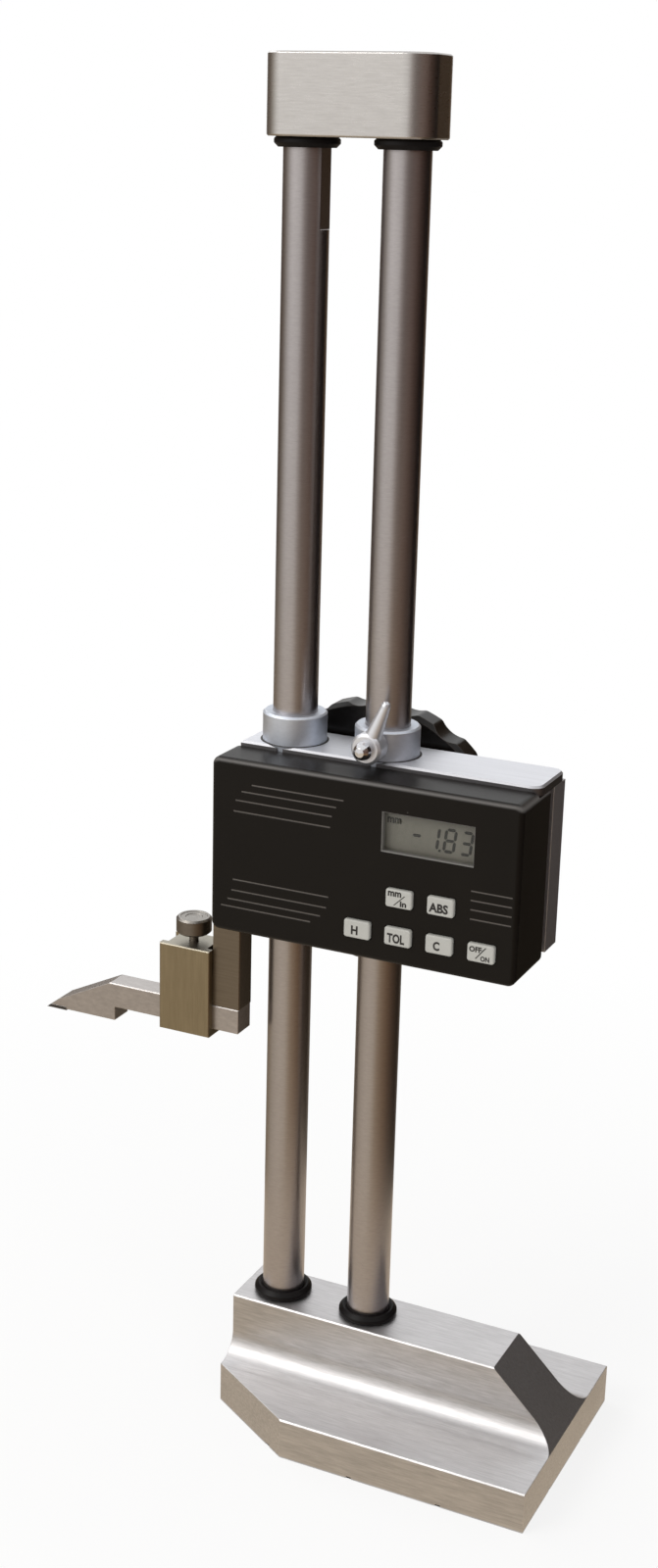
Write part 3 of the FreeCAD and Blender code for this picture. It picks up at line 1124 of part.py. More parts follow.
def scriber():
    """square-shanked scriber with a stepped underside and a carbide point"""
    half = "dim.scriber_shank / 2"
    near_y = f"(dim.jaw_centre - {half})"
    tip_z = f"({TIP_BOTTOM} - dim.carbide_drop)"
    break_z = f"({SHANK_TOP} - dim.scriber_break_height)"
    joint_x = "-dim.scriber_tip + dim.carbide_length"
    joint_z = f"({tip_z} + dim.carbide_height)"
    made = body("scriber")
    drawn = sketch(made, "XZ_Plane", near_y)
    end = "dim.slider_left - dim.scriber_flush"
    outline(drawn, [
        (end, SHANK_BOTTOM), (end, SHANK_TOP),
        ("-dim.scriber_slope", SHANK_TOP), ("-dim.scriber_break", break_z),
        (f"-dim.scriber_break - {NOSE_RUN}", joint_z), (joint_x, joint_z), (joint_x, TIP_BOTTOM),
        ("-dim.scriber_step", TIP_BOTTOM), ("-dim.scriber_step", SHANK_BOTTOM)])
    bar = pad(made, drawn, "dim.scriber_shank")
    dress(made, "Chamfer", bar, "dim.jaw_edge", lambda edge: (
        near(edge.CenterOfMass.z, SHANK_TOP) and is_line(edge, X)))
    insert = body("scriber_point")
    drawn = sketch(insert, "XZ_Plane", near_y)
    outline(drawn, [
        ("-dim.scriber_tip", tip_z), (joint_x, tip_z), (joint_x, joint_z),
        (f"-dim.scriber_break - {NOSE_RUN}", joint_z)])
    pad(insert, drawn, "dim.scriber_shank")


def clamp():
    """clamp frame round jaw arm and scriber, with its thumb screw and pressure pad"""
    made = body("clamp_frame")
    half_x = "dim.clamp_width / 2"
    room = "(dim.scriber_shank / 2 + dim.clamp_play)"
    side = f"({room} + dim.clamp_cheek)"
    floor = f"({SHANK_BOTTOM} - dim.clamp_play)"
    drawn = sketch(made, "YZ_Plane", f"-{half_x}")
    outline(drawn, [
        (f"-{side}", f"{floor} - dim.clamp_floor"), (side, f"{floor} - dim.clamp_floor"),
        (side, CLAMP_TOP), (f"-{side}", CLAMP_TOP)])
    rectangle(drawn, f"-{room}", room, floor, f"{CLAMP_TOP} - dim.clamp_bridge")
    bar = pad(made, drawn, "dim.clamp_width")
    dress(made, "Chamfer", bar, "dim.jaw_edge", lambda edge: (
        near(abs(edge.CenterOfMass.y), side) and (is_line(edge, X) or is_line(edge, Z))))
    ends = sketch(made, "XY_Plane", f"{CLAMP_TOP} + {PAST}")
    for way in ("-", ""):
        rectangle(ends, f"{way}({half_x} - dim.clamp_bridge_inset)", f"{way}({half_x} + {PAST})",
                  f"-{room}", room)
    pocket(made, ends, f"dim.clamp_bridge + dim.clamp_bridge_spare + {PAST}")
    hole = sketch(made, "XY_Plane", CLAMP_TOP)
    circle(hole, "0", "0", "dim.thumb_thread / 2 + dim.shaft_play")
    pocket(made, hole, "dim.clamp_bridge")
    place(made, x=CLAMP_X, y="-dim.jaw_centre")
    pad_top = f"({ARM_TOP} + dim.clamp_play + dim.pad_height)"
    presser = turned("clamp_pad", ring_profile(
        "0", "dim.pad_diameter / 2", f"{ARM_TOP} + dim.clamp_play", pad_top))
    place(presser, x=CLAMP_X, y="-dim.jaw_centre")
    head = f"({CLAMP_TOP} + dim.thumb_neck)"
    crown = f"({head} + dim.thumb_head_height)"
    rim, bevel, ring = "dim.thumb_head / 2", "dim.thumb_edge", "dim.thumb_ring"
    screw = turned("clamp_screw", [
        ("0", f"{pad_top} + dim.clamp_play"), ("dim.thumb_thread / 2", f"{pad_top} + dim.clamp_play"),
        ("dim.thumb_thread / 2", head), (f"{rim} - {bevel}", head), (rim, f"{head} + {bevel}"),
        (rim, f"{crown} - {bevel}"), (f"{rim} - {bevel}", crown), (f"{rim} - 2 * {bevel}", crown),
        (f"{rim} - 2 * {bevel} - {ring}", f"{crown} - {ring}"), (f"{rim} / 2", f"{crown} - {ring}"),
        (f"{rim} / 2 - {ring}", f"{crown} - 2 * {ring}"), ("0", f"{crown} - 2 * {ring}")])
    place(screw, x=CLAMP_X, y="-dim.jaw_centre")


def lock():
    """lock screw in the right collar, its lever and domed nut, and the brass shoe on the column"""
    start = f"({COLUMN_R} + dim.shoe_gap)"
    hub_rear = f"({COLLAR_R} + dim.lock_hub_gap)"
    hub_front = f"({hub_rear} + dim.lock_hub_height)"
    shoe = turned("lock_shoe", ring_profile(
        "0", "dim.lock_thread / 2", start, f"{start} + dim.shoe_height"))
    place(shoe, x=COLUMN_X, z=LOCK_Z, turn=FACING_FRONT)
    stud = turned("lock_screw", ring_profile(
        "0", "dim.lock_thread / 2", f"{start} + dim.shoe_height + dim.shaft_play",
        f"{hub_front} + dim.lock_screw_end"))
    place(stud, x=COLUMN_X, z=LOCK_Z, turn=FACING_FRONT)
    lever = body("lock_lever")
    hub = sketch(lever, "XZ_Plane", "-dim.lock_hub_height + dim.lock_set")
    circle(hub, "0", "0", "dim.lock_hub / 2")
    boss = pad(lever, hub, "dim.lock_hub_height")
    dress(lever, "Chamfer", boss, "(dim.lock_hub - dim.lock_hub_tip) / 2", lambda edge: (
        isinstance(edge.Curve, Part.Circle) and near(edge.CenterOfMass.y, "-dim.lock_set")))
    drawn = sketch(lever, "XZ_Plane")
    root, tip = "dim.lock_root / 2", "dim.lock_tip / 2"
    shoulder = f"dim.lock_length - {tip} * 0.3"
    outline(drawn, [
        ("0", "0"), (root, "0"), (root, "dim.lock_hub / 3"), (tip, f"dim.lock_length - {tip}"),
        (f"{tip} * 0.7", shoulder), ("0", "dim.lock_length")])
    arm = revolve(lever, drawn)
    dress(lever, "Fillet", arm, f"{tip} * 0.4", lambda edge: (
        isinstance(edge.Curve, Part.Circle) and near(edge.CenterOfMass.z, shoulder)))
    bore = sketch(lever, "XZ_Plane", "dim.lock_set")
    circle(bore, "0", "0", "dim.lock_thread / 2 + dim.seat_play")
    pocket(lever, bore, "dim.lock_hub_height")
    lean = Rotation(Y, size("dim.lock_lean"))
    place(lever, x=COLUMN_X, y=f"-({hub_front} - dim.lock_set)", z=LOCK_Z, turn=lean)
    dome_r = "dim.cap_nut / 2"
    thread = "dim.lock_thread / 2 + dim.seat_play"
    cover = f"{hub_front} + dim.cap_nut_cover"
    dome = turned("lock_nut", [
        ("0", cover), (thread, cover), (thread, hub_front),
        (dome_r, hub_front), (dome_r, f"{hub_front} + {dome_r} * 0.5"),
        (f"{dome_r} * 0.87", f"{hub_front} + {dome_r}"),
        (f"{dome_r} * 0.5", f"{hub_front} + {dome_r} * 1.37"),
        ("0", f"{hub_front} + {dome_r} * 1.5")])
    place(dome, x=COLUMN_X, z=LOCK_Z, turn=FACING_FRONT)


base_block()
columns()
column_rack()
frame_bolts()
for ring_label, ring_side in (("buffer_lower_left", "-"), ("buffer_lower_right", "")):
    buffer_ring(ring_label, ring_side, "dim.block_height")
for ring_label, ring_side in (("buffer_upper_left", "-"), ("buffer_upper_right", "")):
    buffer_ring(ring_label, ring_side, "dim.cap_underside", FACING_DOWN)
top_block()
slider_body()
top_plate()
guides()
drive()
handwheel()
encoder()
display_case()
for key_label, key_x, key_z in key_spots():
    key_cap(key_label, key_x, key_z)
electronics()
case_screws()
jaw()
scriber()
clamp()
lock()

doc.recompute()
faults = [item.Name for item in doc.Objects if {"Invalid", "Error"} & set(item.State)]
faults += [item.Label for item in PARTS if item.Shape.isNull() or not item.Shape.isValid()]
if faults:
    raise RuntimeError("failed: " + ", ".join(faults))
os.makedirs("parts", exist_ok=True)
for item in PARTS:
    item.Shape.exportStep(f"parts/{item.Label}.step")
print(len(PARTS), "sub-parts written")
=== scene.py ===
import json
import math

import bmesh
import bpy
from mathutils import Matrix, Vector


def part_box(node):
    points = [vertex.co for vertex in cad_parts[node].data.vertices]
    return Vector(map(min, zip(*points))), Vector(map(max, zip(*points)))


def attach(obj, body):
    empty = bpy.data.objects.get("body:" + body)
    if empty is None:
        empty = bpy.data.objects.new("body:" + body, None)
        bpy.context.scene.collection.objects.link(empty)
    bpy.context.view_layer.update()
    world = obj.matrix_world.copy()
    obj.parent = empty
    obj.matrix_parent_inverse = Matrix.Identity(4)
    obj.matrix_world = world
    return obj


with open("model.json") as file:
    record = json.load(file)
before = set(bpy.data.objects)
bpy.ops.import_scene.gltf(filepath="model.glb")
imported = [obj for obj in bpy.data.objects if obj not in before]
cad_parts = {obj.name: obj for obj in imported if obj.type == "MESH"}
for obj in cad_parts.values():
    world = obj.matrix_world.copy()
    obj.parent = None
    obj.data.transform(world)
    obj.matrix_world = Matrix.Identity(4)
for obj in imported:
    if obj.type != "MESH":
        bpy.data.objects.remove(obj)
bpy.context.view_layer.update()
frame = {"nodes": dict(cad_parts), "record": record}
nodes = frame["nodes"]
mm = 0.001
print("frame loaded,", len(nodes), "nodes")


# view
cameraLook = {
    "place": (0.27956, -0.60338, 0.44086),
    "yaw": 25.162,  # degrees to the left of the frame's +Y
    "pitch": -17.238,
    "roll": 1.507,
    "lens": 47.68,
    "filmWidth": 36,
    "nearest": 0.01,
}


def placeCamera(look):
    yaw, pitch, roll = (math.radians(look[key]) for key in ("yaw", "pitch", "roll"))
    ahead = Vector((-math.sin(yaw) * math.cos(pitch), math.cos(yaw) * math.cos(pitch), math.sin(pitch)))
    level = Vector((math.cos(yaw), math.sin(yaw), 0))
    upright = level.cross(ahead)
    right = level * math.cos(roll) + upright * math.sin(roll)
    up = upright * math.cos(roll) - level * math.sin(roll)
    camera = bpy.data.objects.new("camera", bpy.data.cameras.new("camera"))
    turned = Matrix((right, up, -ahead)).transposed().to_4x4()
    camera.matrix_world = Matrix.Translation(look["place"]) @ turned
    camera.data.lens = look["lens"]
    camera.data.sensor_width = look["filmWidth"]
    camera.data.clip_start = look["nearest"]
    bpy.context.scene.collection.objects.link(camera)
    bpy.context.scene.camera = camera
    print("camera placed")


# small helpers for shader trees
def addNode(tree, kind, spot, **settings):
    node = tree.nodes.new("ShaderNode" + kind)
    node.location = (spot[0] * 200, spot[1] * 180)
    for key, value in settings.items():
        setattr(node, key, value)
    return node


def startGroup(name, inputs, outputs):
    tree = bpy.data.node_groups.new(name, "ShaderNodeTree")
    for label, kind, value in inputs:
        socket = tree.interface.new_socket(label, in_out="INPUT", socket_type="NodeSocket" + kind)
        socket.default_value = value
    for label, kind in outputs:
        tree.interface.new_socket(label, in_out="OUTPUT", socket_type="NodeSocket" + kind)
    entry, leave = tree.nodes.new("NodeGroupInput"), tree.nodes.new("NodeGroupOutput")
    entry.location, leave.location = (-600, 0), (1200, 0)
    return tree, entry, leave


def rampTo(tree, spot, value, low, high, first=0.0, last=1.0):
    span = addNode(tree, "MapRange", spot, clamp=True)
    tree.links.new(value, span.inputs["Value"])
    for label, number in (("From Min", low), ("From Max", high), ("To Min", first), ("To Max", last)):
        span.inputs[label].default_value = number
    return span.outputs["Result"]


# Grinding or brushing marks: noise drawn out along one direction of the piece.
def grainGroup():
    tree, entry, leave = startGroup(
        "grindingGrain",
        [("Density", "Vector", (40, 900, 900)), ("Contrast", "Float", 0.5)],
        [("Value", "Float"), ("Height", "Float")])
    coords = addNode(tree, "TexCoord", (-2, -1))
    drawn = addNode(tree, "VectorMath", (-1, 0), operation="MULTIPLY")
    tree.links.new(coords.outputs["Object"], drawn.inputs[0])
    tree.links.new(entry.outputs["Density"], drawn.inputs[1])
    fine = addNode(tree, "TexNoise", (0, 0))
    fine.inputs["Scale"].default_value = 1
    fine.inputs["Detail"].default_value = 3
    fine.inputs["Roughness"].default_value = 0.7
    tree.links.new(drawn.outputs[0], fine.inputs["Vector"])
    centred = addNode(tree, "Math", (1, 0), operation="SUBTRACT")
    tree.links.new(fine.outputs["Fac"], centred.inputs[0])
    centred.inputs[1].default_value = 0.5
    strong = addNode(tree, "Math", (2, 0), operation="MULTIPLY_ADD")
    tree.links.new(centred.outputs[0], strong.inputs[0])
    tree.links.new(entry.outputs["Contrast"], strong.inputs[1])
    strong.inputs[2].default_value = 0.5
    tree.links.new(strong.outputs[0], leave.inputs["Value"])
    tree.links.new(fine.outputs["Fac"], leave.inputs["Height"])
    return tree


# Broad cloudy change of tone, as oil, handling and uneven polish leave it.
def cloudGroup():
    tree, entry, leave = startGroup(
        "handledTone", [("Scale", "Float", 20.0), ("Amount", "Float", 0.3)], [("Value", "Float")])
    coords = addNode(tree, "TexCoord", (-2, -1))
    cloud = addNode(tree, "TexNoise", (0, 0))
    cloud.inputs["Detail"].default_value = 4
    tree.links.new(coords.outputs["Object"], cloud.inputs["Vector"])
    tree.links.new(entry.outputs["Scale"], cloud.inputs["Scale"])
    centred = addNode(tree, "Math", (1, 0), operation="SUBTRACT")
    tree.links.new(cloud.outputs["Fac"], centred.inputs[0])
    centred.inputs[1].default_value = 0.5
    spread = addNode(tree, "Math", (2, 0), operation="MULTIPLY_ADD")
    tree.links.new(centred.outputs[0], spread.inputs[0])
    tree.links.new(entry.outputs["Amount"], spread.inputs[1])
    spread.inputs[2].default_value = 1
    tree.links.new(spread.outputs[0], leave.inputs["Value"])
    return tree


# Edges: how far the rounded normal leaves the true one. This mask lightens edges, partly as wear and partly
# as painted highlight.
def edgeGroup():
    tree, entry, leave = startGroup(
        "edgeWearAndHighlight", [("Radius", "Float", 0.0004), ("Gain", "Float", 6.0)],
        [("Mask", "Float"), ("Normal", "Vector")])
    rounded = addNode(tree, "Bevel", (-1, 0), samples=6)
    tree.links.new(entry.outputs["Radius"], rounded.inputs["Radius"])
    shape = addNode(tree, "NewGeometry", (-1, -1))
    turn = addNode(tree, "VectorMath", (0, 0), operation="DOT_PRODUCT")
    tree.links.new(rounded.outputs[0], turn.inputs[0])
    tree.links.new(shape.outputs["Normal"], turn.inputs[1])
    away = addNode(tree, "Math", (1, 0), operation="SUBTRACT")
    away.inputs[0].default_value = 1
    tree.links.new(turn.outputs["Value"], away.inputs[1])
    gain = addNode(tree, "Math", (2, 0), operation="MULTIPLY", use_clamp=True)
    tree.links.new(away.outputs[0], gain.inputs[0])
    tree.links.new(entry.outputs["Gain"], gain.inputs[1])
    tree.links.new(gain.outputs[0], leave.inputs["Mask"])
    tree.links.new(rounded.outputs[0], leave.inputs["Normal"])
    return tree


# Small separate specks: dust on plastic, pits in metal.
def speckGroup():
    tree, entry, leave = startGroup(
        "fineSpecks", [("Scale", "Float", 400.0), ("Cover", "Float", 0.1)], [("Mask", "Float")])
    coords = addNode(tree, "TexCoord", (-2, -1))
    spots = addNode(tree, "TexVoronoi", (-1, 0))
    tree.links.new(coords.outputs["Object"], spots.inputs["Vector"])
    tree.links.new(entry.outputs["Scale"], spots.inputs["Scale"])
    small = addNode(tree, "Math", (0, 0), operation="LESS_THAN")
    tree.links.new(spots.outputs["Distance"], small.inputs[0])
    tree.links.new(entry.outputs["Cover"], small.inputs[1])
    tree.links.new(small.outputs[0], leave.inputs["Mask"])
    return tree


facingUp = {  # upward share of the normal, from where a mask starts to where it is full
    "face": (0.3, 0.95), "edgeStart": (0.1, 0.45), "edgeEnd": (0.6, 0.95),
}


# Painted top light: faces that look up are painted lighter than the sides.
def paintedTopLightGroup():
    tree, entry, leave = startGroup("paintedTopLightFaces", [("Amount", "Float", 0.0)], [("Mask", "Float")])
    coords = addNode(tree, "TexCoord", (-2, 0))
    apart = addNode(tree, "SeparateXYZ", (-1, 0))
    tree.links.new(coords.outputs["Normal"], apart.inputs[0])
    share = addNode(tree, "Math", (1, 0), operation="MULTIPLY")
    tree.links.new(rampTo(tree, (0, 0), apart.outputs["Z"], *facingUp["face"]), share.inputs[0])
    tree.links.new(entry.outputs["Amount"], share.inputs[1])
    tree.links.new(share.outputs[0], leave.inputs["Mask"])
    return tree


# Painted highlight on the rounded edges between the front and the top.
def paintedEdgeHighlightGroup():
    tree, entry, leave = startGroup("paintedUpperEdgeHighlight", [("Amount", "Float", 1.0)], [("Mask", "Float")])
    coords = addNode(tree, "TexCoord", (-2, 0))
    apart = addNode(tree, "SeparateXYZ", (-1, 0))
    tree.links.new(coords.outputs["Normal"], apart.inputs[0])
    both = addNode(tree, "Math", (1, 0), operation="MULTIPLY")
    tree.links.new(rampTo(tree, (0, 1), apart.outputs["Z"], *facingUp["edgeStart"]), both.inputs[0])
    tree.links.new(rampTo(tree, (0, 0), apart.outputs["Z"], *facingUp["edgeEnd"], 1.0, 0.0), both.inputs[1])
    share = addNode(tree, "Math", (2, 0), operation="MULTIPLY")
    tree.links.new(both.outputs[0], share.inputs[0])
    tree.links.new(entry.outputs["Amount"], share.inputs[1])
    tree.links.new(share.outputs[0], leave.inputs["Mask"])
    return tree


# Turning marks: fine rings round an upright axis of the piece.
def turnedGroup():
    tree, entry, leave = startGroup(
        "turnedRings", [("Centre", "Vector", (0, 0, 0)), ("Density", "Float", 3000.0)], [("Value", "Float")])
    coords = addNode(tree, "TexCoord", (-3, 0))
    moved = addNode(tree, "VectorMath", (-2, 0), operation="SUBTRACT")
    tree.links.new(coords.outputs["Object"], moved.inputs[0])
    tree.links.new(entry.outputs["Centre"], moved.inputs[1])
    flat = addNode(tree, "VectorMath", (-1, 0), operation="MULTIPLY")
    tree.links.new(moved.outputs[0], flat.inputs[0])
    flat.inputs[1].default_value = (1, 1, 0)
    away = addNode(tree, "VectorMath", (0, 0), operation="LENGTH")
    tree.links.new(flat.outputs[0], away.inputs[0])
    turns = addNode(tree, "Math", (1, 0), operation="MULTIPLY")
    tree.links.new(away.outputs["Value"], turns.inputs[0])
    tree.links.new(entry.outputs["Density"], turns.inputs[1])
    rings = addNode(tree, "TexNoise", (2, 0), noise_dimensions="1D")
    rings.inputs["Scale"].default_value = 1
    rings.inputs["Detail"].default_value = 1
    tree.links.new(turns.outputs[0], rings.inputs["W"])
    tree.links.new(rings.outputs["Fac"], leave.inputs["Value"])
    return tree


groups = {
    "grain": grainGroup(), "cloud": cloudGroup(), "edge": edgeGroup(), "speck": speckGroup(),
    "paintedTopLightMask": paintedTopLightGroup(), "paintedEdgeHighlightMask": paintedEdgeHighlightGroup(), "turned": turnedGroup(),
}


def useGroup(tree, name, spot, **values):
    node = addNode(tree, "Group", spot, node_tree=groups[name])
    for label, value in values.items():
        node.inputs[label].default_value = value
    return node


def startMaterial(name):
    made = bpy.data.materials.new(name)
    made.use_nodes = True
    tree = made.node_tree
    shader = tree.nodes["Principled BSDF"]
    return made, tree, shader


def setShader(shader, **values):
    for label, value in values.items():
        shader.inputs[label.replace("_", " ")].default_value = value


def mixColours(tree, spot, factor, first, second, blend="MIX"):
    mixed = addNode(tree, "Mix", spot, data_type="RGBA", blend_type=blend)
    for socket, value in ((mixed.inputs[0], factor), (mixed.inputs[6], first), (mixed.inputs[7], second)):
        if isinstance(value, bpy.types.NodeSocket):
            tree.links.new(value, socket)
        else:
            socket.default_value = value if isinstance(value, (int, float)) else (*value, 1)
    return mixed.outputs[2]


# Machined metal: dark and light tone mixed by its grain, brighter edges partly from wear and partly as
# painted highlight, roughness from the grain.
def metalFinish(name, look):
    made, tree, shader = startMaterial(name)
    grain = useGroup(tree, "grain", (-5, 1), Density=look["grain"], Contrast=look["contrast"])
    cloud = useGroup(tree, "cloud", (-5, 0), Scale=look["cloudScale"], Amount=look["cloudAmount"])
    edge = useGroup(tree, "edge", (-5, -1), Radius=look["edgeRadius"], Gain=look["edgeGain"])
    tone = addNode(tree, "Math", (-4, 1), operation="MULTIPLY")
    tree.links.new(grain.outputs["Value"], tone.inputs[0])
    tree.links.new(cloud.outputs["Value"], tone.inputs[1])
    body = mixColours(tree, (-3, 1), tone.outputs[0], look["dark"], look["light"])
    # Painted top light: a lighter tone mixed in on faces that look up.
    if look.get("paintedTopLightAmount"):
        paintedTopLightMask = useGroup(tree, "paintedTopLightMask", (-4, 2), Amount=look["paintedTopLightAmount"])
        shades = [tuple(part * share for part in look["paintedTopLightTone"]) for share in look["paintedTopLightSpread"]]
        upper = mixColours(tree, (-4, 3), tone.outputs[0], *shades)
        body = mixColours(tree, (-3, 2), paintedTopLightMask.outputs["Mask"], body, upper)
    if look.get("turned"):
        rings = useGroup(tree, "turned", (-4, 3), Centre=look["turned"])
        marks = rampTo(tree, (-3, 3), rings.outputs["Value"], *look["ringBand"], look["ringDepth"], 0.0)
        body = mixColours(tree, (-2, 2), marks, body, look["dark"])
    # Edges lightened: partly wear, partly painted highlight.
    tree.links.new(mixColours(tree, (-2, 1), edge.outputs["Mask"], body, look["edge"]),
                   shader.inputs["Base Color"])
    rough = rampTo(tree, (-2, 0), tone.outputs[0], 0, 1, look["rough"][0], look["rough"][1])
    tree.links.new(rough, shader.inputs["Roughness"])
    bump = addNode(tree, "Bump", (-2, -1))
    bump.inputs["Strength"].default_value = look["bump"]
    bump.inputs["Distance"].default_value = look["markDepth"]
    tree.links.new(grain.outputs["Height"], bump.inputs["Height"])
    tree.links.new(edge.outputs["Normal"], bump.inputs["Normal"])
    tree.links.new(bump.outputs["Normal"], shader.inputs["Normal"])
    setShader(shader, Metallic=look.get("metallic", 1.0), Anisotropic=look.get("drawn", 0.0))
    return made


# Moulded plastic or rubber: fine spark-eroded texture, faint handling tone, dust specks, edges lighter partly
# from wear and partly as painted highlight, and a painted highlight on rounded upper edges where asked.
def mouldedFinish(name, look):
    made, tree, shader = startMaterial(name)
    cloud = useGroup(tree, "cloud", (-5, 1), Scale=look["cloudScale"], Amount=look["cloudAmount"])
    grain = useGroup(tree, "grain", (-5, 0), Density=(look["texture"],) * 3, Contrast=1.0)
    edge = useGroup(tree, "edge", (-5, -1), Radius=look["edgeRadius"], Gain=look["edgeGain"])
    specks = useGroup(tree, "speck", (-5, -2), Scale=look["dustScale"], Cover=look["dust"])
    body = mixColours(tree, (-4, 1), 1.0, look["colour"], cloud.outputs["Value"], "MULTIPLY")
    # Edges lightened: partly wear, partly painted highlight.
    worn = mixColours(tree, (-3, 1), edge.outputs["Mask"], body, look["edge"])
    # Painted highlight: a light colour on the rounded upper edges.
    if look.get("paintedEdgeHighlight"):
        paintedEdgeHighlight = useGroup(tree, "paintedEdgeHighlightMask", (-4, 2))
        worn = mixColours(tree, (-3, 2), paintedEdgeHighlight.outputs["Mask"], worn, look["paintedEdgeHighlight"])
    tree.links.new(mixColours(tree, (-2, 1), specks.outputs["Mask"], worn, look["dustColour"]),
                   shader.inputs["Base Color"])
    rough = rampTo(tree, (-2, 0), grain.outputs["Value"], 0, 1, look["rough"][0], look["rough"][1])
    tree.links.new(rough, shader.inputs["Roughness"])
    bump = addNode(tree, "Bump", (-2, -1))
    bump.inputs["Strength"].default_value = look["bump"]
    bump.inputs["Distance"].default_value = look["markDepth"]
    tree.links.new(grain.outputs["Height"], bump.inputs["Height"])
    tree.links.new(edge.outputs["Normal"], bump.inputs["Normal"])
    tree.links.new(bump.outputs["Normal"], shader.inputs["Normal"])
    setShader(shader, Specular_IOR_Level=look["gloss"])
    return made


# The edge colours below lighten edges: partly wear, partly painted highlight.
plainMetal = {
    "dark": (0.36, 0.35, 0.34), "light": (0.62, 0.61, 0.60), "edge": (0.85, 0.84, 0.83),
    "grain": (30, 1200, 1200), "contrast": 1.2, "cloudScale": 30, "cloudAmount": 0.5,
    "edgeRadius": 0.0003, "edgeGain": 8, "rough": (0.38, 0.26), "bump": 0.25, "markDepth": 0.00005,
    "paintedTopLightSpread": (0.86, 1.1),  # darkest and lightest share of the upper tone
}
groundSteel = {
    **plainMetal, "dark": (0.36, 0.35, 0.345), "light": (0.56, 0.55, 0.55), "grain": (120, 1500, 1500),
    "contrast": 1.7, "cloudScale": 45, "cloudAmount": 0.8, "edgeRadius": 0.0004, "edgeGain": 2,
    "rough": (0.48, 0.38), "bump": 0.2, "paintedTopLightAmount": 0.75, "paintedTopLightTone": (0.69, 0.68, 0.69),
}
columnSteel = {
    **plainMetal, "dark": (0.31, 0.287, 0.287), "light": (0.495, 0.468, 0.468), "grain": (500, 500, 2600),
    "contrast": 0.7, "rough": (0.36, 0.27), "bump": 0.1,
}
capSteel = {
    **groundSteel, "dark": (0.42, 0.405, 0.39), "light": (0.62, 0.60, 0.58), "grain": (200, 200, 2200),
    "contrast": 1.2, "cloudAmount": 0.4, "rough": (0.34, 0.24), "paintedTopLightAmount": 0.0,
}
toolSteel = {
    **plainMetal, "dark": (0.12, 0.10, 0.075), "light": (0.22, 0.185, 0.145), "edge": (0.50, 0.47, 0.42),
    "contrast": 0.8, "edgeRadius": 0.0002, "edgeGain": 3, "rough": (0.42, 0.32), "bump": 0.15,
}
scriberSteel = {
    **toolSteel, "dark": (0.30, 0.28, 0.27), "light": (0.50, 0.47, 0.46), "edge": (0.72, 0.70, 0.67),
    "grain": (300, 700, 700), "contrast": 1.2, "cloudScale": 90, "cloudAmount": 0.9, "edgeRadius": 0.0004,
    "edgeGain": 2, "paintedTopLightAmount": 0.7, "paintedTopLightTone": (0.60, 0.57, 0.55),
}
thumbSteel = {
    **toolSteel, "dark": (0.13, 0.115, 0.10), "light": (0.22, 0.195, 0.17), "edge": (0.62, 0.60, 0.57),
    "grain": (600, 600, 600), "edgeRadius": 0.0003, "edgeGain": 2, "paintedTopLightAmount": 0.8,
    "paintedTopLightTone": (0.48, 0.46, 0.43), "ringBand": (0.35, 0.65), "ringDepth": 0.35,
    "turned": (-0.05213, -0.0056, 0.0),  # axis of the clamp's thumb screw
}
clampSteel = {
    **toolSteel, "dark": (0.20, 0.16, 0.10), "light": (0.32, 0.27, 0.18), "grain": (900, 900, 60),
    "contrast": 1.0, "rough": (0.42, 0.34), "cloudScale": 60, "cloudAmount": 0.8, "edge": (0.62, 0.60, 0.56),
    "edgeRadius": 0.0004, "edgeGain": 2, "paintedTopLightAmount": 0.8, "paintedTopLightTone": (0.46, 0.44, 0.38),
}
darkSteel = {**plainMetal, "dark": (0.03, 0.03, 0.03), "light": (0.08, 0.08, 0.08), "edge": (0.2, 0.2, 0.2)}
sliderAluminium = {
    **plainMetal, "dark": (0.27, 0.255, 0.265), "light": (0.42, 0.40, 0.415), "contrast": 0.7,
    "rough": (0.5, 0.4), "metallic": 0.9,
}
plateAluminium = {
    **plainMetal, "dark": (0.14, 0.135, 0.14), "light": (0.20, 0.195, 0.20), "edge": (0.30, 0.30, 0.31),
    "contrast": 0.8, "edgeRadius": 0.00005, "edgeGain": 1, "rough": (0.55, 0.45), "bump": 0.2,
    "paintedTopLightAmount": 0.97, "paintedTopLightTone": (0.79, 0.80, 0.84),
}
collarAluminium = {
    **plainMetal, "dark": (0.50, 0.53, 0.59), "light": (0.68, 0.72, 0.79), "grain": (500, 500, 900),
    "contrast": 0.6, "rough": (0.55, 0.45), "bump": 0.15,
}
bronzeLook = {**plainMetal, "dark": (0.38, 0.24, 0.10), "light": (0.62, 0.42, 0.2), "edge": (0.8, 0.6, 0.35)}
batteryLook = {**plainMetal, "dark": (0.5, 0.5, 0.5), "light": (0.75, 0.75, 0.74)}
chromeLook = {
    **plainMetal, "dark": (0.58, 0.58, 0.6), "light": (0.78, 0.78, 0.8), "contrast": 0.2,
    "rough": (0.18, 0.12), "bump": 0.03, "grain": (300, 300, 300),
}
leverLook = {
    **chromeLook, "dark": (0.58, 0.59, 0.63), "light": (0.77, 0.78, 0.81), "rough": (0.40, 0.32),
    "metallic": 0.8,
}
carbideLook = {**plainMetal, "dark": (0.05, 0.05, 0.05), "light": (0.12, 0.11, 0.11), "edge": (0.3, 0.3, 0.3)}
# The edge colours below lighten edges: partly wear, partly painted highlight.
blackMoulding = {
    "colour": (0.0062, 0.0050, 0.0040), "edge": (0.02, 0.018, 0.017), "cloudScale": 40, "cloudAmount": 0.5,
    "texture": 2500, "edgeRadius": 0.0003, "edgeGain": 3, "dustScale": 90, "dust": 0.022,
    "dustColour": (0.06, 0.055, 0.05), "rough": (0.34, 0.26), "bump": 0.2, "gloss": 0.13,
    "markDepth": 0.0001,
}
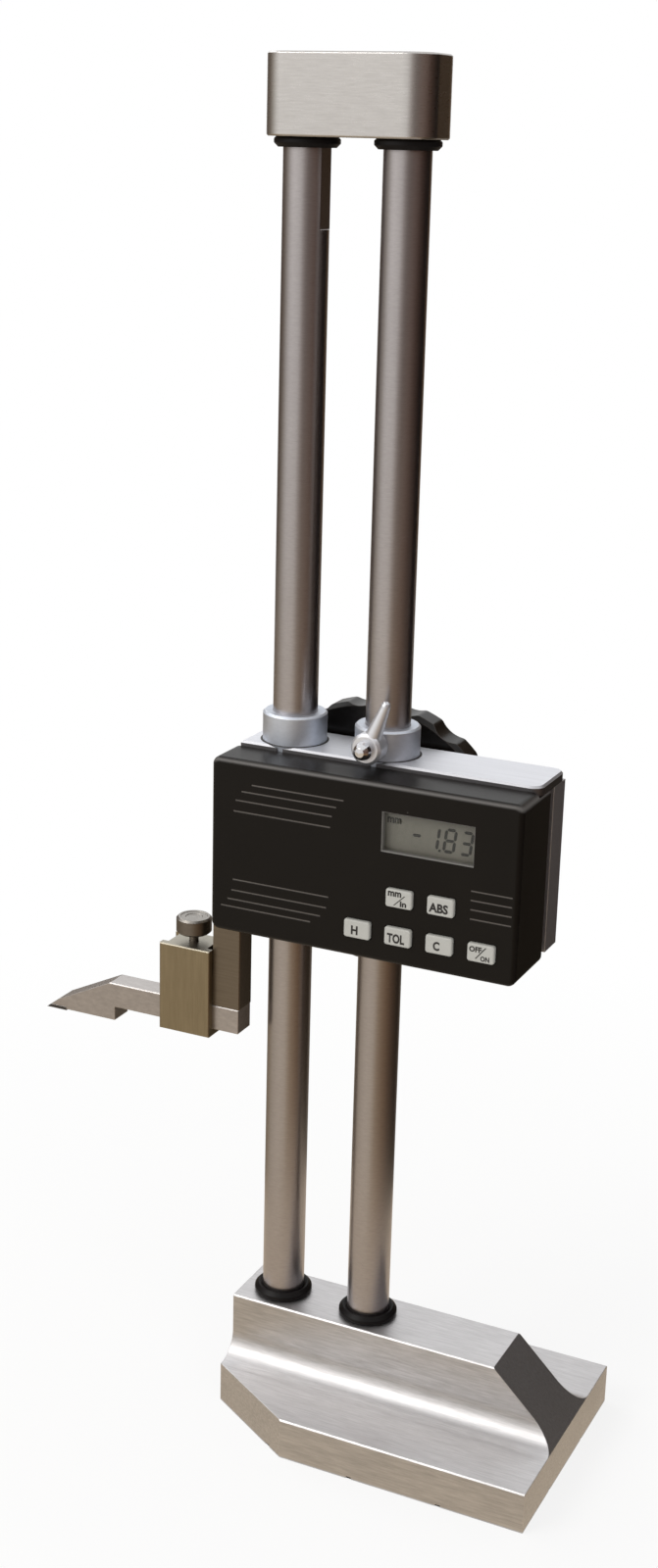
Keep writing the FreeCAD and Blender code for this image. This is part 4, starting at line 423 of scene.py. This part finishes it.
# The case gets a painted highlight along its rounded upper edges.
casePlastic = {**blackMoulding, "paintedEdgeHighlight": (0.11, 0.103, 0.098)}
keyPlastic = {
    **blackMoulding, "colour": (0.42, 0.415, 0.385), "edge": (0.68, 0.68, 0.65), "cloudAmount": 0.15,
    "dust": 0.0, "dustColour": (0.4, 0.4, 0.38), "rough": (0.5, 0.4), "bump": 0.1, "gloss": 0.5,
}
# The wheel's light edge colour is partly wear and partly a painted highlight on its rim.
wheelPlastic = {
    **blackMoulding, "colour": (0.0055, 0.0042, 0.0034), "edge": (0.19, 0.165, 0.145),
    "edgeRadius": 0.0005, "rough": (0.34, 0.24), "bump": 0.12, "dust": 0.03, "gloss": 0.3,
}
rubberLook = {
    **blackMoulding, "colour": (0.006, 0.005, 0.005), "edge": (0.012, 0.011, 0.011), "rough": (0.45, 0.35),
    "dust": 0.03,
}
siliconeLook = {**keyPlastic, "colour": (0.35, 0.35, 0.36), "edge": (0.4, 0.4, 0.4), "rough": (0.6, 0.5)}
boardLook = {**keyPlastic, "colour": (0.02, 0.12, 0.04), "edge": (0.2, 0.2, 0.1), "rough": (0.4, 0.3)}
panelLook = {
    **keyPlastic, "colour": (0.122, 0.115, 0.094), "edge": (0.122, 0.115, 0.094), "cloudAmount": 0.3,
    "rough": (0.5, 0.45), "bump": 0.02,
}
trimLook = {**keyPlastic, "colour": (0.13, 0.125, 0.115), "edge": (0.3, 0.29, 0.27)}
lineLook = {**keyPlastic, "colour": (0.085, 0.074, 0.066), "edge": (0.085, 0.074, 0.066), "bump": 0.05}
lensLook = {
    "tint": (0.96, 0.97, 0.95, 1), "bending": 1.2, "smearScale": 60, "smearAmount": 0.6,
    "smearBand": (0.7, 1.3), "rough": (0.02, 0.09),
}


def lensFinish(name, look):
    made, tree, shader = startMaterial(name)
    cloud = useGroup(tree, "cloud", (-3, 0), Scale=look["smearScale"], Amount=look["smearAmount"])
    smear = rampTo(tree, (-2, 0), cloud.outputs["Value"], *look["smearBand"], *look["rough"])
    tree.links.new(smear, shader.inputs["Roughness"])
    setShader(shader, Base_Color=look["tint"], Transmission_Weight=1.0, IOR=look["bending"])
    path = addNode(tree, "LightPath", (-1, 3))  # light reaches the panel unhindered
    passing = addNode(tree, "Math", (0, 3), operation="MAXIMUM")
    tree.links.new(path.outputs["Is Shadow Ray"], passing.inputs[0])
    tree.links.new(path.outputs["Is Diffuse Ray"], passing.inputs[1])
    clear = addNode(tree, "BsdfTransparent", (1, 2))
    mix = addNode(tree, "MixShader", (2, 1))
    tree.links.new(passing.outputs[0], mix.inputs[0])
    tree.links.new(shader.outputs[0], mix.inputs[1])
    tree.links.new(clear.outputs[0], mix.inputs[2])
    tree.links.new(mix.outputs[0], tree.nodes["Material Output"].inputs["Surface"])
    return made


finishes = {
    "ground_steel": metalFinish("groundSteel", groundSteel),
    "cap_steel": metalFinish("capSteel", capSteel),
    "column_steel": metalFinish("columnSteel", columnSteel),
    "tool_steel": metalFinish("toolSteel", toolSteel),
    "clamp_steel": metalFinish("clampSteel", clampSteel),
    "scriber_steel": metalFinish("scriberSteel", scriberSteel),
    "thumb_steel": metalFinish("thumbSteel", thumbSteel),
    "lever_chrome": metalFinish("leverChrome", leverLook),
    "dark_steel": metalFinish("darkSteel", darkSteel),
    "slider_aluminium": metalFinish("sliderAluminium", sliderAluminium),
    "plate_aluminium": metalFinish("plateAluminium", plateAluminium),
    "collar_aluminium": metalFinish("collarAluminium", collarAluminium),
    "bronze": metalFinish("bronze", bronzeLook),
    "battery_metal": metalFinish("batterySteel", batteryLook),
    "chrome": metalFinish("chrome", chromeLook),
    "carbide": metalFinish("carbide", carbideLook),
    "case_plastic": mouldedFinish("casePlastic", casePlastic),
    "key_plastic": mouldedFinish("keyPlastic", keyPlastic),
    "wheel_plastic": mouldedFinish("wheelPlastic", wheelPlastic),
    "rubber": mouldedFinish("rubber", rubberLook),
    "silicone": mouldedFinish("silicone", siliconeLook),
    "board": mouldedFinish("board", boardLook),
    "display_panel": mouldedFinish("displayPanel", panelLook),
    "window_trim": mouldedFinish("windowTrim", trimLook),
    "case_lines": mouldedFinish("caseLines", lineLook),
    "lens_glass": lensFinish("lensGlass", lensLook),
}
ownFinish = {  # pieces that differ from their slot
    "top_block": "cap_steel", "clamp_frame": "clamp_steel", "scriber": "scriber_steel",
    "clamp_screw": "thumb_steel", "lock_lever": "lever_chrome",
}


def dressNodes():
    slotOf = {part["node"]: part["material_slot"] for part in frame["record"]["subparts"]}
    for name, piece in nodes.items():
        finish = finishes[ownFinish.get(name, slotOf[name])]
        if not piece.material_slots:
            piece.data.materials.append(finish)
        for slot in piece.material_slots:
            slot.material = finish
    print("finishes on", len(nodes), "nodes")


# Studio: floor, soft lamps, and cards that only the metal sees.
studio = {
    "floorSize": 12,
    "floorColour": (0.86, 0.855, 0.85, 1),
    "whiteShare": (0.8, 1.0),  # of the floor that stays white whatever falls on it, near and far
    "whiteFrom": (0.12, 0.45),  # metres from the middle
    "skyLevel": 0.62,
    "lamps": [
        # name, place, target height, size, watts, colour
        ("keyLamp", (-0.9, -1.1, 1.3), 0.25, 1.0, 15, (1.0, 0.98, 0.95)),
        ("fillLamp", (1.2, -0.9, 0.9), 0.2, 0.9, 4, (1.0, 0.97, 0.93)),
        ("backLamp", (-1.3, 0.45, 1.1), 0.25, 1.0, 5, (0.97, 0.98, 1.0)),
    ],
}
# What polished metal sees round the piece: azimuth from the front towards +X, head height, colour.
wallStops = [
    (-180, 0.6, (0.22, 0.16, 0.10)),
    (-172, 0.25, (0.22, 0.16, 0.10)),
    (-145, 0.25, (0.10, 0.07, 0.045)),
    (-130, 0.6, (0.10, 0.07, 0.045)),
    (-110, 0.95, (0.11, 0.08, 0.055)),
    (-92, 0.95, (0.18, 0.14, 0.11)),
    (-76, 0.95, (0.40, 0.36, 0.31)),
    (-56, 0.95, (0.78, 0.76, 0.73)),
    (-44, 0.95, (0.93, 0.91, 0.89)),
    (2, 1.3, (0.92, 0.90, 0.88)),
    (16, 1.3, (0.42, 0.37, 0.35)),
    (34, 1.3, (0.12, 0.09, 0.08)),
    (66, 1.3, (0.12, 0.060, 0.042)),
    (98, 1.3, (0.065, 0.034, 0.023)),
    (128, 1.3, (0.014, 0.009, 0.007)),
    (147, 1.3, (0.016, 0.011, 0.010)),
    (154, 1.3, (0.06, 0.040, 0.026)),
    (166, 1.2, (0.11, 0.07, 0.04)),
    (180, 0.6, (0.22, 0.16, 0.10)),
]
floorStops = [
    # azimuth, colour
    (-180, (0.30, 0.26, 0.21)),
    (-130, (0.26, 0.21, 0.15)),
    (-100, (0.36, 0.28, 0.19)),
    (-70, (0.62, 0.54, 0.43)),
    (-30, (0.78, 0.68, 0.56)),
    (4, (0.76, 0.66, 0.53)),
    (26, (0.46, 0.34, 0.22)),
    (60, (0.27, 0.165, 0.088)),
    (94, (0.11, 0.068, 0.040)),
    (128, (0.045, 0.032, 0.021)),
    (160, (0.06, 0.045, 0.03)),
    (180, (0.30, 0.26, 0.21)),
]
cards = {
    "radius": 1.3,  # of the wall
    "foot": -0.3,
    "step": 5,  # degrees from post to post
    "nearColour": (0.76, 0.64, 0.50),  # of the floor close to the foot
    "reach": 0.17,  # metres from the middle to the end of that colour
    "far": 1.25,
    "lift": 0.0004,
}
lowCard = {"azimuths": (120, 151), "radius": 0.55, "head": 0.42, "colour": (0.008, 0.006, 0.007)}


# Rays that see the background as plain white: the camera's, and those that metal or glass sends on.
def whiteRays(tree):
    path = addNode(tree, "LightPath", (-4, 2))
    either = addNode(tree, "Math", (-3, 2), operation="MAXIMUM")
    tree.links.new(path.outputs["Is Camera Ray"], either.inputs[0])
    tree.links.new(path.outputs["Is Glossy Ray"], either.inputs[1])
    anyOf = addNode(tree, "Math", (-2, 2), operation="MAXIMUM")
    tree.links.new(either.outputs[0], anyOf.inputs[0])
    tree.links.new(path.outputs["Is Transmission Ray"], anyOf.inputs[1])
    return anyOf.outputs[0]


def makeFloor():
    bpy.ops.mesh.primitive_plane_add(size=studio["floorSize"], location=(0, 0, 0))
    floor = bpy.context.object
    floor.name = "floor"
    made, tree, shader = startMaterial("floorPaint")
    setShader(shader, Base_Color=studio["floorColour"], Roughness=0.9, Specular_IOR_Level=0.0)
    glow = addNode(tree, "Emission", (-1, 1))
    coords = addNode(tree, "TexCoord", (-5, 3))
    away = addNode(tree, "VectorMath", (-4, 3), operation="LENGTH")
    tree.links.new(coords.outputs["Object"], away.inputs[0])
    white = rampTo(tree, (-3, 3), away.outputs["Value"], *studio["whiteFrom"], *studio["whiteShare"])
    share = addNode(tree, "Math", (-1, 2), operation="MULTIPLY")
    tree.links.new(whiteRays(tree), share.inputs[0])
    tree.links.new(white, share.inputs[1])
    mix = addNode(tree, "MixShader", (2, 1))
    tree.links.new(share.outputs[0], mix.inputs[0])
    tree.links.new(shader.outputs[0], mix.inputs[1])
    tree.links.new(glow.outputs[0], mix.inputs[2])
    tree.links.new(mix.outputs[0], tree.nodes["Material Output"].inputs["Surface"])
    floor.data.materials.append(made)


def makeSky():
    world = bpy.data.worlds.new("studio")
    bpy.context.scene.world = world
    world.use_nodes = True
    tree = world.node_tree
    soft = tree.nodes["Background"]
    soft.inputs["Color"].default_value = (1, 1, 1, 1)
    soft.inputs["Strength"].default_value = studio["skyLevel"]
    white = addNode(tree, "Background", (-1, 1))
    white.inputs["Color"].default_value = (1, 1, 1, 1)
    mix = addNode(tree, "MixShader", (1, 1))
    tree.links.new(whiteRays(tree), mix.inputs[0])
    tree.links.new(soft.outputs[0], mix.inputs[1])
    tree.links.new(white.outputs[0], mix.inputs[2])
    tree.links.new(mix.outputs[0], tree.nodes["World Output"].inputs["Surface"])


def makeLamps():
    for name, place, height, size, watts, colour in studio["lamps"]:
        lamp = bpy.data.objects.new(name, bpy.data.lights.new(name, "AREA"))
        lamp.data.size = size
        lamp.data.energy = watts
        lamp.data.color = colour
        lamp.location = place
        aim = Vector((0, 0, height)) - lamp.location
        lamp.rotation_euler = aim.to_track_quat("-Z", "Y").to_euler()
        bpy.context.scene.collection.objects.link(lamp)
    print("studio lit")


# Emission that changes with the azimuth round the piece.
def azimuthGlow(tree, stops):
    coords = addNode(tree, "TexCoord", (-6, 1))
    apart = addNode(tree, "SeparateXYZ", (-5, 1))
    tree.links.new(coords.outputs["Object"], apart.inputs[0])
    front = addNode(tree, "Math", (-4, 0), operation="MULTIPLY")
    tree.links.new(apart.outputs["Y"], front.inputs[0])
    front.inputs[1].default_value = -1
    turn = addNode(tree, "Math", (-3, 1), operation="ARCTAN2")
    tree.links.new(apart.outputs["X"], turn.inputs[0])
    tree.links.new(front.outputs[0], turn.inputs[1])
    share = rampTo(tree, (-2, 1), turn.outputs[0], -math.pi, math.pi)
    ramp = addNode(tree, "ValToRGB", (-1, 1))
    tree.links.new(share, ramp.inputs[0])
    points = ramp.color_ramp.elements
    for stop in stops[2:]:
        points.new(0.5)
    for point, stop in zip(points, stops):
        point.position = (stop[0] + 180) / 360
    for point, stop in zip(points, stops):  # colours last, when the points stand in order
        point.color = (*stop[-1], 1)
    return ramp.outputs[0]


def onlyReflected(card, stops):
    made, tree, shader = startMaterial(card.name)
    glow = addNode(tree, "Emission", (0, 1))
    if len(stops) > 1:
        tree.links.new(azimuthGlow(tree, stops), glow.inputs["Color"])
    else:
        glow.inputs["Color"].default_value = (*stops[0], 1)
    tree.links.new(glow.outputs[0], tree.nodes["Material Output"].inputs["Surface"])
    card.data.materials.append(made)
    card.visible_camera = card.visible_diffuse = card.visible_shadow = card.visible_transmission = False


def meshObject(name, points, faces):
    mesh = bpy.data.meshes.new(name)
    mesh.from_pydata([tuple(point) for point in points], [], faces)
    mesh.update()
    made = bpy.data.objects.new(name, mesh)
    bpy.context.scene.collection.objects.link(made)
    return made


def ringCard(name, posts, stops):
    points, faces = [], []
    for azimuth, ends in posts:
        turn = math.radians(azimuth)
        for radius, height in ends:
            points.append((radius * math.sin(turn), -radius * math.cos(turn), height))
    for step in range(len(posts) - 1):
        first = step * 2
        faces.append((first, first + 2, first + 3, first + 1))
    onlyReflected(meshObject(name, points, faces), stops)


def makeCards(look):
    bottom = (look["radius"], look["foot"])
    posts = []
    for (start, low, _), (end, high, _) in zip(wallStops, wallStops[1:]):
        steps = max(1, round((end - start) / look["step"]))
        for step in range(steps):
            share = step / steps
            head = (look["radius"], low + (high - low) * share)
            posts.append((start + (end - start) * share, (bottom, head)))
    posts.append((180, (bottom, (look["radius"], wallStops[-1][1]))))
    ringCard("wallCard", posts, wallStops)

    def ring(inner, outer):
        ends = ((inner, look["lift"]), (outer, look["lift"]))
        return [(turn, ends) for turn in range(-180, 181, look["step"])]

    ringCard("floorCard", ring(look["reach"], look["far"]), floorStops)
    ringCard("nearFloorCard", ring(0.0, look["reach"]), [look["nearColour"]])
    ends = ((lowCard["radius"], 0.0), (lowCard["radius"], lowCard["head"]))
    ringCard("lowDarkCard", [(turn, ends) for turn in lowCard["azimuths"]], [lowCard["colour"]])
    print("studio cards made")


# Shade under the foot, seen only through the grooves of its underside.
footShade = {"cut": (34.9, 21.3), "inset": 0.1, "lift": 0.2, "colour": (0.012, 0.010, 0.009, 1)}


def makeFootShade(look):
    low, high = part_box("base_block")
    left, right = low.x / mm + look["inset"], high.x / mm - look["inset"]
    half = high.y / mm - look["inset"]
    along, across = look["cut"]
    outline = [(left, half - across), (left, across - half), (left + along, -half),
               (right, -half), (right, half), (left + along, half)]
    points = [(x * mm, y * mm, look["lift"] * mm) for x, y in outline]
    shade = meshObject("footShade", points, [tuple(range(len(points)))])
    made, _, shader = startMaterial("footShade")
    setShader(shader, Base_Color=look["colour"], Roughness=0.9)
    shade.data.materials.append(made)


# Readout: seven-segment digits, a minus sign and the unit, printed on the panel behind the lens.
readout = {
    "shown": "-183",
    "digitHeight": 8.4,
    "digitWidth": 4.3,
    "pitch": 5.7,
    "stroke": 1.05,
    "gap": 0.12,
    "lean": 0.12,
    "right": 58.4,  # right edge of the last digit
    "left": 28,  # no digit starts left of it
    "low": 225.7,
    "point": 0.8,  # size of the decimal point
    "pointLean": 0.1,
    "pointBack": 1.25,  # from the digit after it
    "ink": (0.014, 0.013, 0.011),
    "unlit": (0.116, 0.110, 0.089),
    "film": 0.06,  # the printed film ahead of the module's front
    "printStep": 0.02,
    "unitSize": (4.9, 2.0),
    "unitPlace": (30.7, 233.7),
    "unitWeight": 0.04,
}
segments = {"1": "bc", "8": "abcdefg", "3": "abcdg", "-": "g"}


def segmentShapes(width, height, stroke, gap):
    half = height / 2
    edge = stroke / 2

    def bar(x0, z0, x1, z1):
        along = Vector((x1 - x0, z1 - z0)).normalized()
        side = Vector((-along.y, along.x))
        start, end = Vector((x0, z0)) + along * gap, Vector((x1, z1)) - along * gap
        return [start, start + along * edge + side * edge, end - along * edge + side * edge,
                end, end - along * edge - side * edge, start + along * edge - side * edge]

    left, right, low, top = edge, width - edge, edge, height - edge
    return {
        "a": bar(left, top, right, top), "g": bar(left, half, right, half), "d": bar(left, low, right, low),
        "f": bar(left, half, left, top), "b": bar(right, half, right, top),
        "e": bar(left, low, left, half), "c": bar(right, low, right, half),
    }


def inkMaterial(name, colour):
    look = {**keyPlastic, "colour": colour, "edge": colour, "rough": (0.6, 0.5), "bump": 0.05}
    return mouldedFinish(name, look)


def flatPrint(name, outlines, front, body, finish):
    points, faces = [], []
    for outline in outlines:
        first = len(points)
        points += [(x * mm, front * mm, z * mm) for x, z in outline]
        faces.append(tuple(range(first, first + len(outline))))
    made = meshObject(name, points, faces)
    bm = bmesh.new()
    bm.from_mesh(made.data)
    bmesh.ops.recalc_face_normals(bm, faces=bm.faces)
    for face in bm.faces:
        if face.normal.y > 0:
            face.normal_flip()
    bm.to_mesh(made.data)
    bm.free()
    made.data.materials.append(finish)
    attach(made, body)
    return made


def textPrint(name, words, size, centre, body, finish, weight):
    curve = bpy.data.curves.new(name, "FONT")
    curve.body = words
    curve.align_x = curve.align_y = "CENTER"
    curve.resolution_u = 3
    curve.offset = weight
    text = bpy.data.objects.new(name, curve)
    bpy.context.scene.collection.objects.link(text)
    bpy.context.view_layer.update()
    mesh = bpy.data.meshes.new_from_object(text)
    bpy.data.objects.remove(text)
    spreadX, spreadY = ([vertex.co[axis] for vertex in mesh.vertices] for axis in (0, 1))
    left, right, low, high = min(spreadX), max(spreadX), min(spreadY), max(spreadY)
    for vertex in mesh.vertices:
        across = (vertex.co.x - (left + right) / 2) * size[0] * mm / (right - left)
        up = (vertex.co.y - (low + high) / 2) * size[1] * mm / (high - low)
        vertex.co = (centre[0] * mm + across, centre[1] * mm, centre[2] * mm + up)
    mesh.materials.clear()
    mesh.materials.append(finish)
    made = bpy.data.objects.new(name, mesh)
    bpy.context.scene.collection.objects.link(made)
    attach(made, body)
    return made


def makeReadout(look):
    low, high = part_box("display_module")
    filmFront = low.y / mm - look["film"]
    corners = [(low.x, low.z), (high.x, low.z), (high.x, high.z), (low.x, high.z)]
    corners = [(x / mm, z / mm) for x, z in corners]
    film = flatPrint("readout_film", [corners], filmFront, "slider", finishes["display_panel"])
    panelFront = filmFront - look["printStep"]
    shapes = segmentShapes(look["digitWidth"], look["digitHeight"], look["stroke"], look["gap"])
    ink = inkMaterial("readoutInk", look["ink"])
    ghost = inkMaterial("readoutGhost", look["unlit"])
    lit, unlit = [], []

    def leaned(outline, left):
        return [(left + x + z * look["lean"], look["low"] + z) for x, z in outline]

    lastLeft = look["right"] - look["lean"] * look["digitHeight"] - look["digitWidth"]
    places = int((lastLeft - look["left"]) / look["pitch"]) + 1
    for place in range(places):
        mark = look["shown"][-1 - place] if place < len(look["shown"]) else ""
        for key, outline in shapes.items():
            shown = lit if key in segments.get(mark, "") else unlit
            shown.append(leaned(outline, lastLeft - place * look["pitch"]))
    left, foot = lastLeft - look["pitch"] - look["pointBack"], look["low"]
    dot, slant = look["point"], look["pointLean"]
    lit.append([(left, foot), (left + dot, foot),
                (left + dot + slant, foot + dot), (left + slant, foot + dot)])
    flatPrint("readout_digits", lit, panelFront, "slider", ink)
    flatPrint("readout_unlit", unlit, panelFront, "slider", ghost)
    unitX, unitZ = look["unitPlace"]
    unit = textPrint("readout_unit", "mm", look["unitSize"], (unitX, panelFront, unitZ), "slider", ink,
                     look["unitWeight"])
    print("readout made")


# Case details: a lining in the display window and paint in the cut lines.
caseTrim = {
    "lining": 0.35,  # width of the lining seen from the front
    "liningDepth": (0.12, 2.1),  # behind the case front
    "paintDepth": 0.12,  # paint below the case front
    "paintWidth": 0.5,
    # left end, right end and height of each line
    "upper": [(-26.0 + 0.73 * n * n, 9.4 + 0.5 * n * n, 228.5 + 4.1 * n - 0.28 * n * n) for n in range(4)],
    "lower": [(-26.0 - 0.48 * n * n, 9.4 - 0.7 * n * n, 204.5 - 4.1 * n + 0.28 * n * n) for n in range(4)],
    "short": [(59.0, 73.0, 206.3 + 3.13 * n) for n in range(4)],
    "window": (27.5, 59.5, 223.5, 237.0),  # left, right, low, high
}


def makeCaseTrim(look):
    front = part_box("display_case")[0].y / mm
    half = look["paintWidth"] / 2
    strips = []
    for left, right, z in look["upper"] + look["lower"] + look["short"]:
        strips.append([(left, z - half), (right, z - half), (right, z + half), (left, z + half)])
    paint = flatPrint("case_line_paint", strips, front + look["paintDepth"], "slider", finishes["case_lines"])
    left, right, low, high = look["window"]
    near, far = (front + depth for depth in look["liningDepth"])
    rings = []
    for inset, y in ((0, near), (look["lining"], near + look["lining"]), (look["lining"], far), (0, far)):
        x0, x1, z0, z1 = left + inset, right - inset, low + inset, high - inset
        rings.append([(x0, y, z0), (x1, y, z0), (x1, y, z1), (x0, y, z1)])
    points = [(x * mm, y * mm, z * mm) for ring in rings for x, y, z in ring]
    faces = []
    for ring in range(4):
        for side in range(4):
            here, after = ring * 4 + side, ring * 4 + (side + 1) % 4
            over, overAfter = (ring + 1) % 4 * 4 + side, (ring + 1) % 4 * 4 + (side + 1) % 4
            faces.append((here, after, overAfter, over))
    lining = meshObject("window_lining", points, faces)
    lining.data.materials.append(finishes["window_trim"])
    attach(lining, "slider")
    print("case trim made")


# Painted contact shade with some oil: a dark line round the foot of each guide collar.
contactShadeAndOil = {"width": 0.7, "rise": 0.15, "proud": 0.02, "steps": 96, "colour": (0.02, 0.017, 0.015)}


def makeContactShadeAndOilLines(look):
    finish = inkMaterial("contactShadeAndOil", look["colour"])
    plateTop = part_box("top_plate")[1].z / mm
    for side in ("left", "right"):
        low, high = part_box("guide_collar_" + side)
        middle, radius = (low + high) / 2 / mm, (high.x - low.x) / 2 / mm
        ring = [(radius + look["width"], look["proud"]), (radius + look["proud"], look["proud"]),
                (radius + look["proud"], look["rise"])]
        points, faces = [], []
        for step in range(look["steps"]):
            turn = 2 * math.pi * step / look["steps"]
            for away, lift in ring:
                x, y = middle.x + away * math.cos(turn), middle.y + away * math.sin(turn)
                points.append((x * mm, y * mm, (plateTop + lift) * mm))
            here, after = step * 3, (step + 1) % look["steps"] * 3
            for place in (0, 1):
                faces.append((here + place, after + place, after + place + 1, here + place + 1))
        made = meshObject("shade_and_oil_line_" + side, points, faces)
        made.data.materials.append(finish)
        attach(made, "slider")
    print("oil lines made")


# Legends on the six keys, printed on their faces.
legends = {
    "ink": (0.010, 0.009, 0.009),
    "proud": 0.015,
    "weight": 0.042,  # thickening of the letters, for a height of one
    "stroke": 0.45,  # width of the slanted strokes
    "words": {
        # key: words, width and height, place right of and above the key's middle
        "key_absolute": [("ABS", (6.6, 3.2), (-0.5, -0.5))],
        "key_tolerance": [("TOL", (6.1, 3.3), (-0.45, -0.5))],
        "key_hold": [("H", (2.4, 3.1), (-0.7, -0.3))],
        "key_clear": [("C", (2.3, 3.1), (-0.7, -0.3))],
        "key_units": [("mm", (4.7, 1.75), (-1.35, 1.6)), ("in", (2.3, 2.0), (1.7, -1.4))],
        "key_power": [("OFF", (4.3, 1.95), (-1.7, 1.25)), ("ON", (3.1, 1.8), (1.6, -1.55))],
    },
    "slants": {"key_units": ((-1.5, -2.2), (2.2, 1.4)), "key_power": ((-1.6, -1.9), (1.8, 2.3))},
}


def makeLegends(look):
    ink = inkMaterial("legendInk", look["ink"])

    def face(name):
        low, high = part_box(name)
        return (low.x + high.x) / 2 / mm, low.y / mm - look["proud"], (low.z + high.z) / 2 / mm

    for name, lines in look["words"].items():
        x, y, z = face(name)
        for number, (words, size, (across, up)) in enumerate(lines, 1):
            centre = (x + across, y, z + up)
            made = textPrint(f"{name}_words_{number}", words, size, centre, name, ink, look["weight"])
    for name, ((left, low), (right, high)) in look["slants"].items():
        x, y, z = face(name)
        half = look["stroke"] / 2
        slant = [(x + left - half, z + low), (x + left + half, z + low), (x + right + half, z + high),
                 (x + right - half, z + high)]
        flatPrint(name + "_slant", [slant], y, name, ink)
    print("legends made")


placeCamera(cameraLook)
dressNodes()
makeFloor()
makeSky()
makeLamps()
makeCards(cards)
makeFootShade(footShade)
makeReadout(readout)
makeCaseTrim(caseTrim)
makeContactShadeAndOilLines(contactShadeAndOil)
makeLegends(legends)
bpy.context.scene.view_settings.view_transform = "Standard"
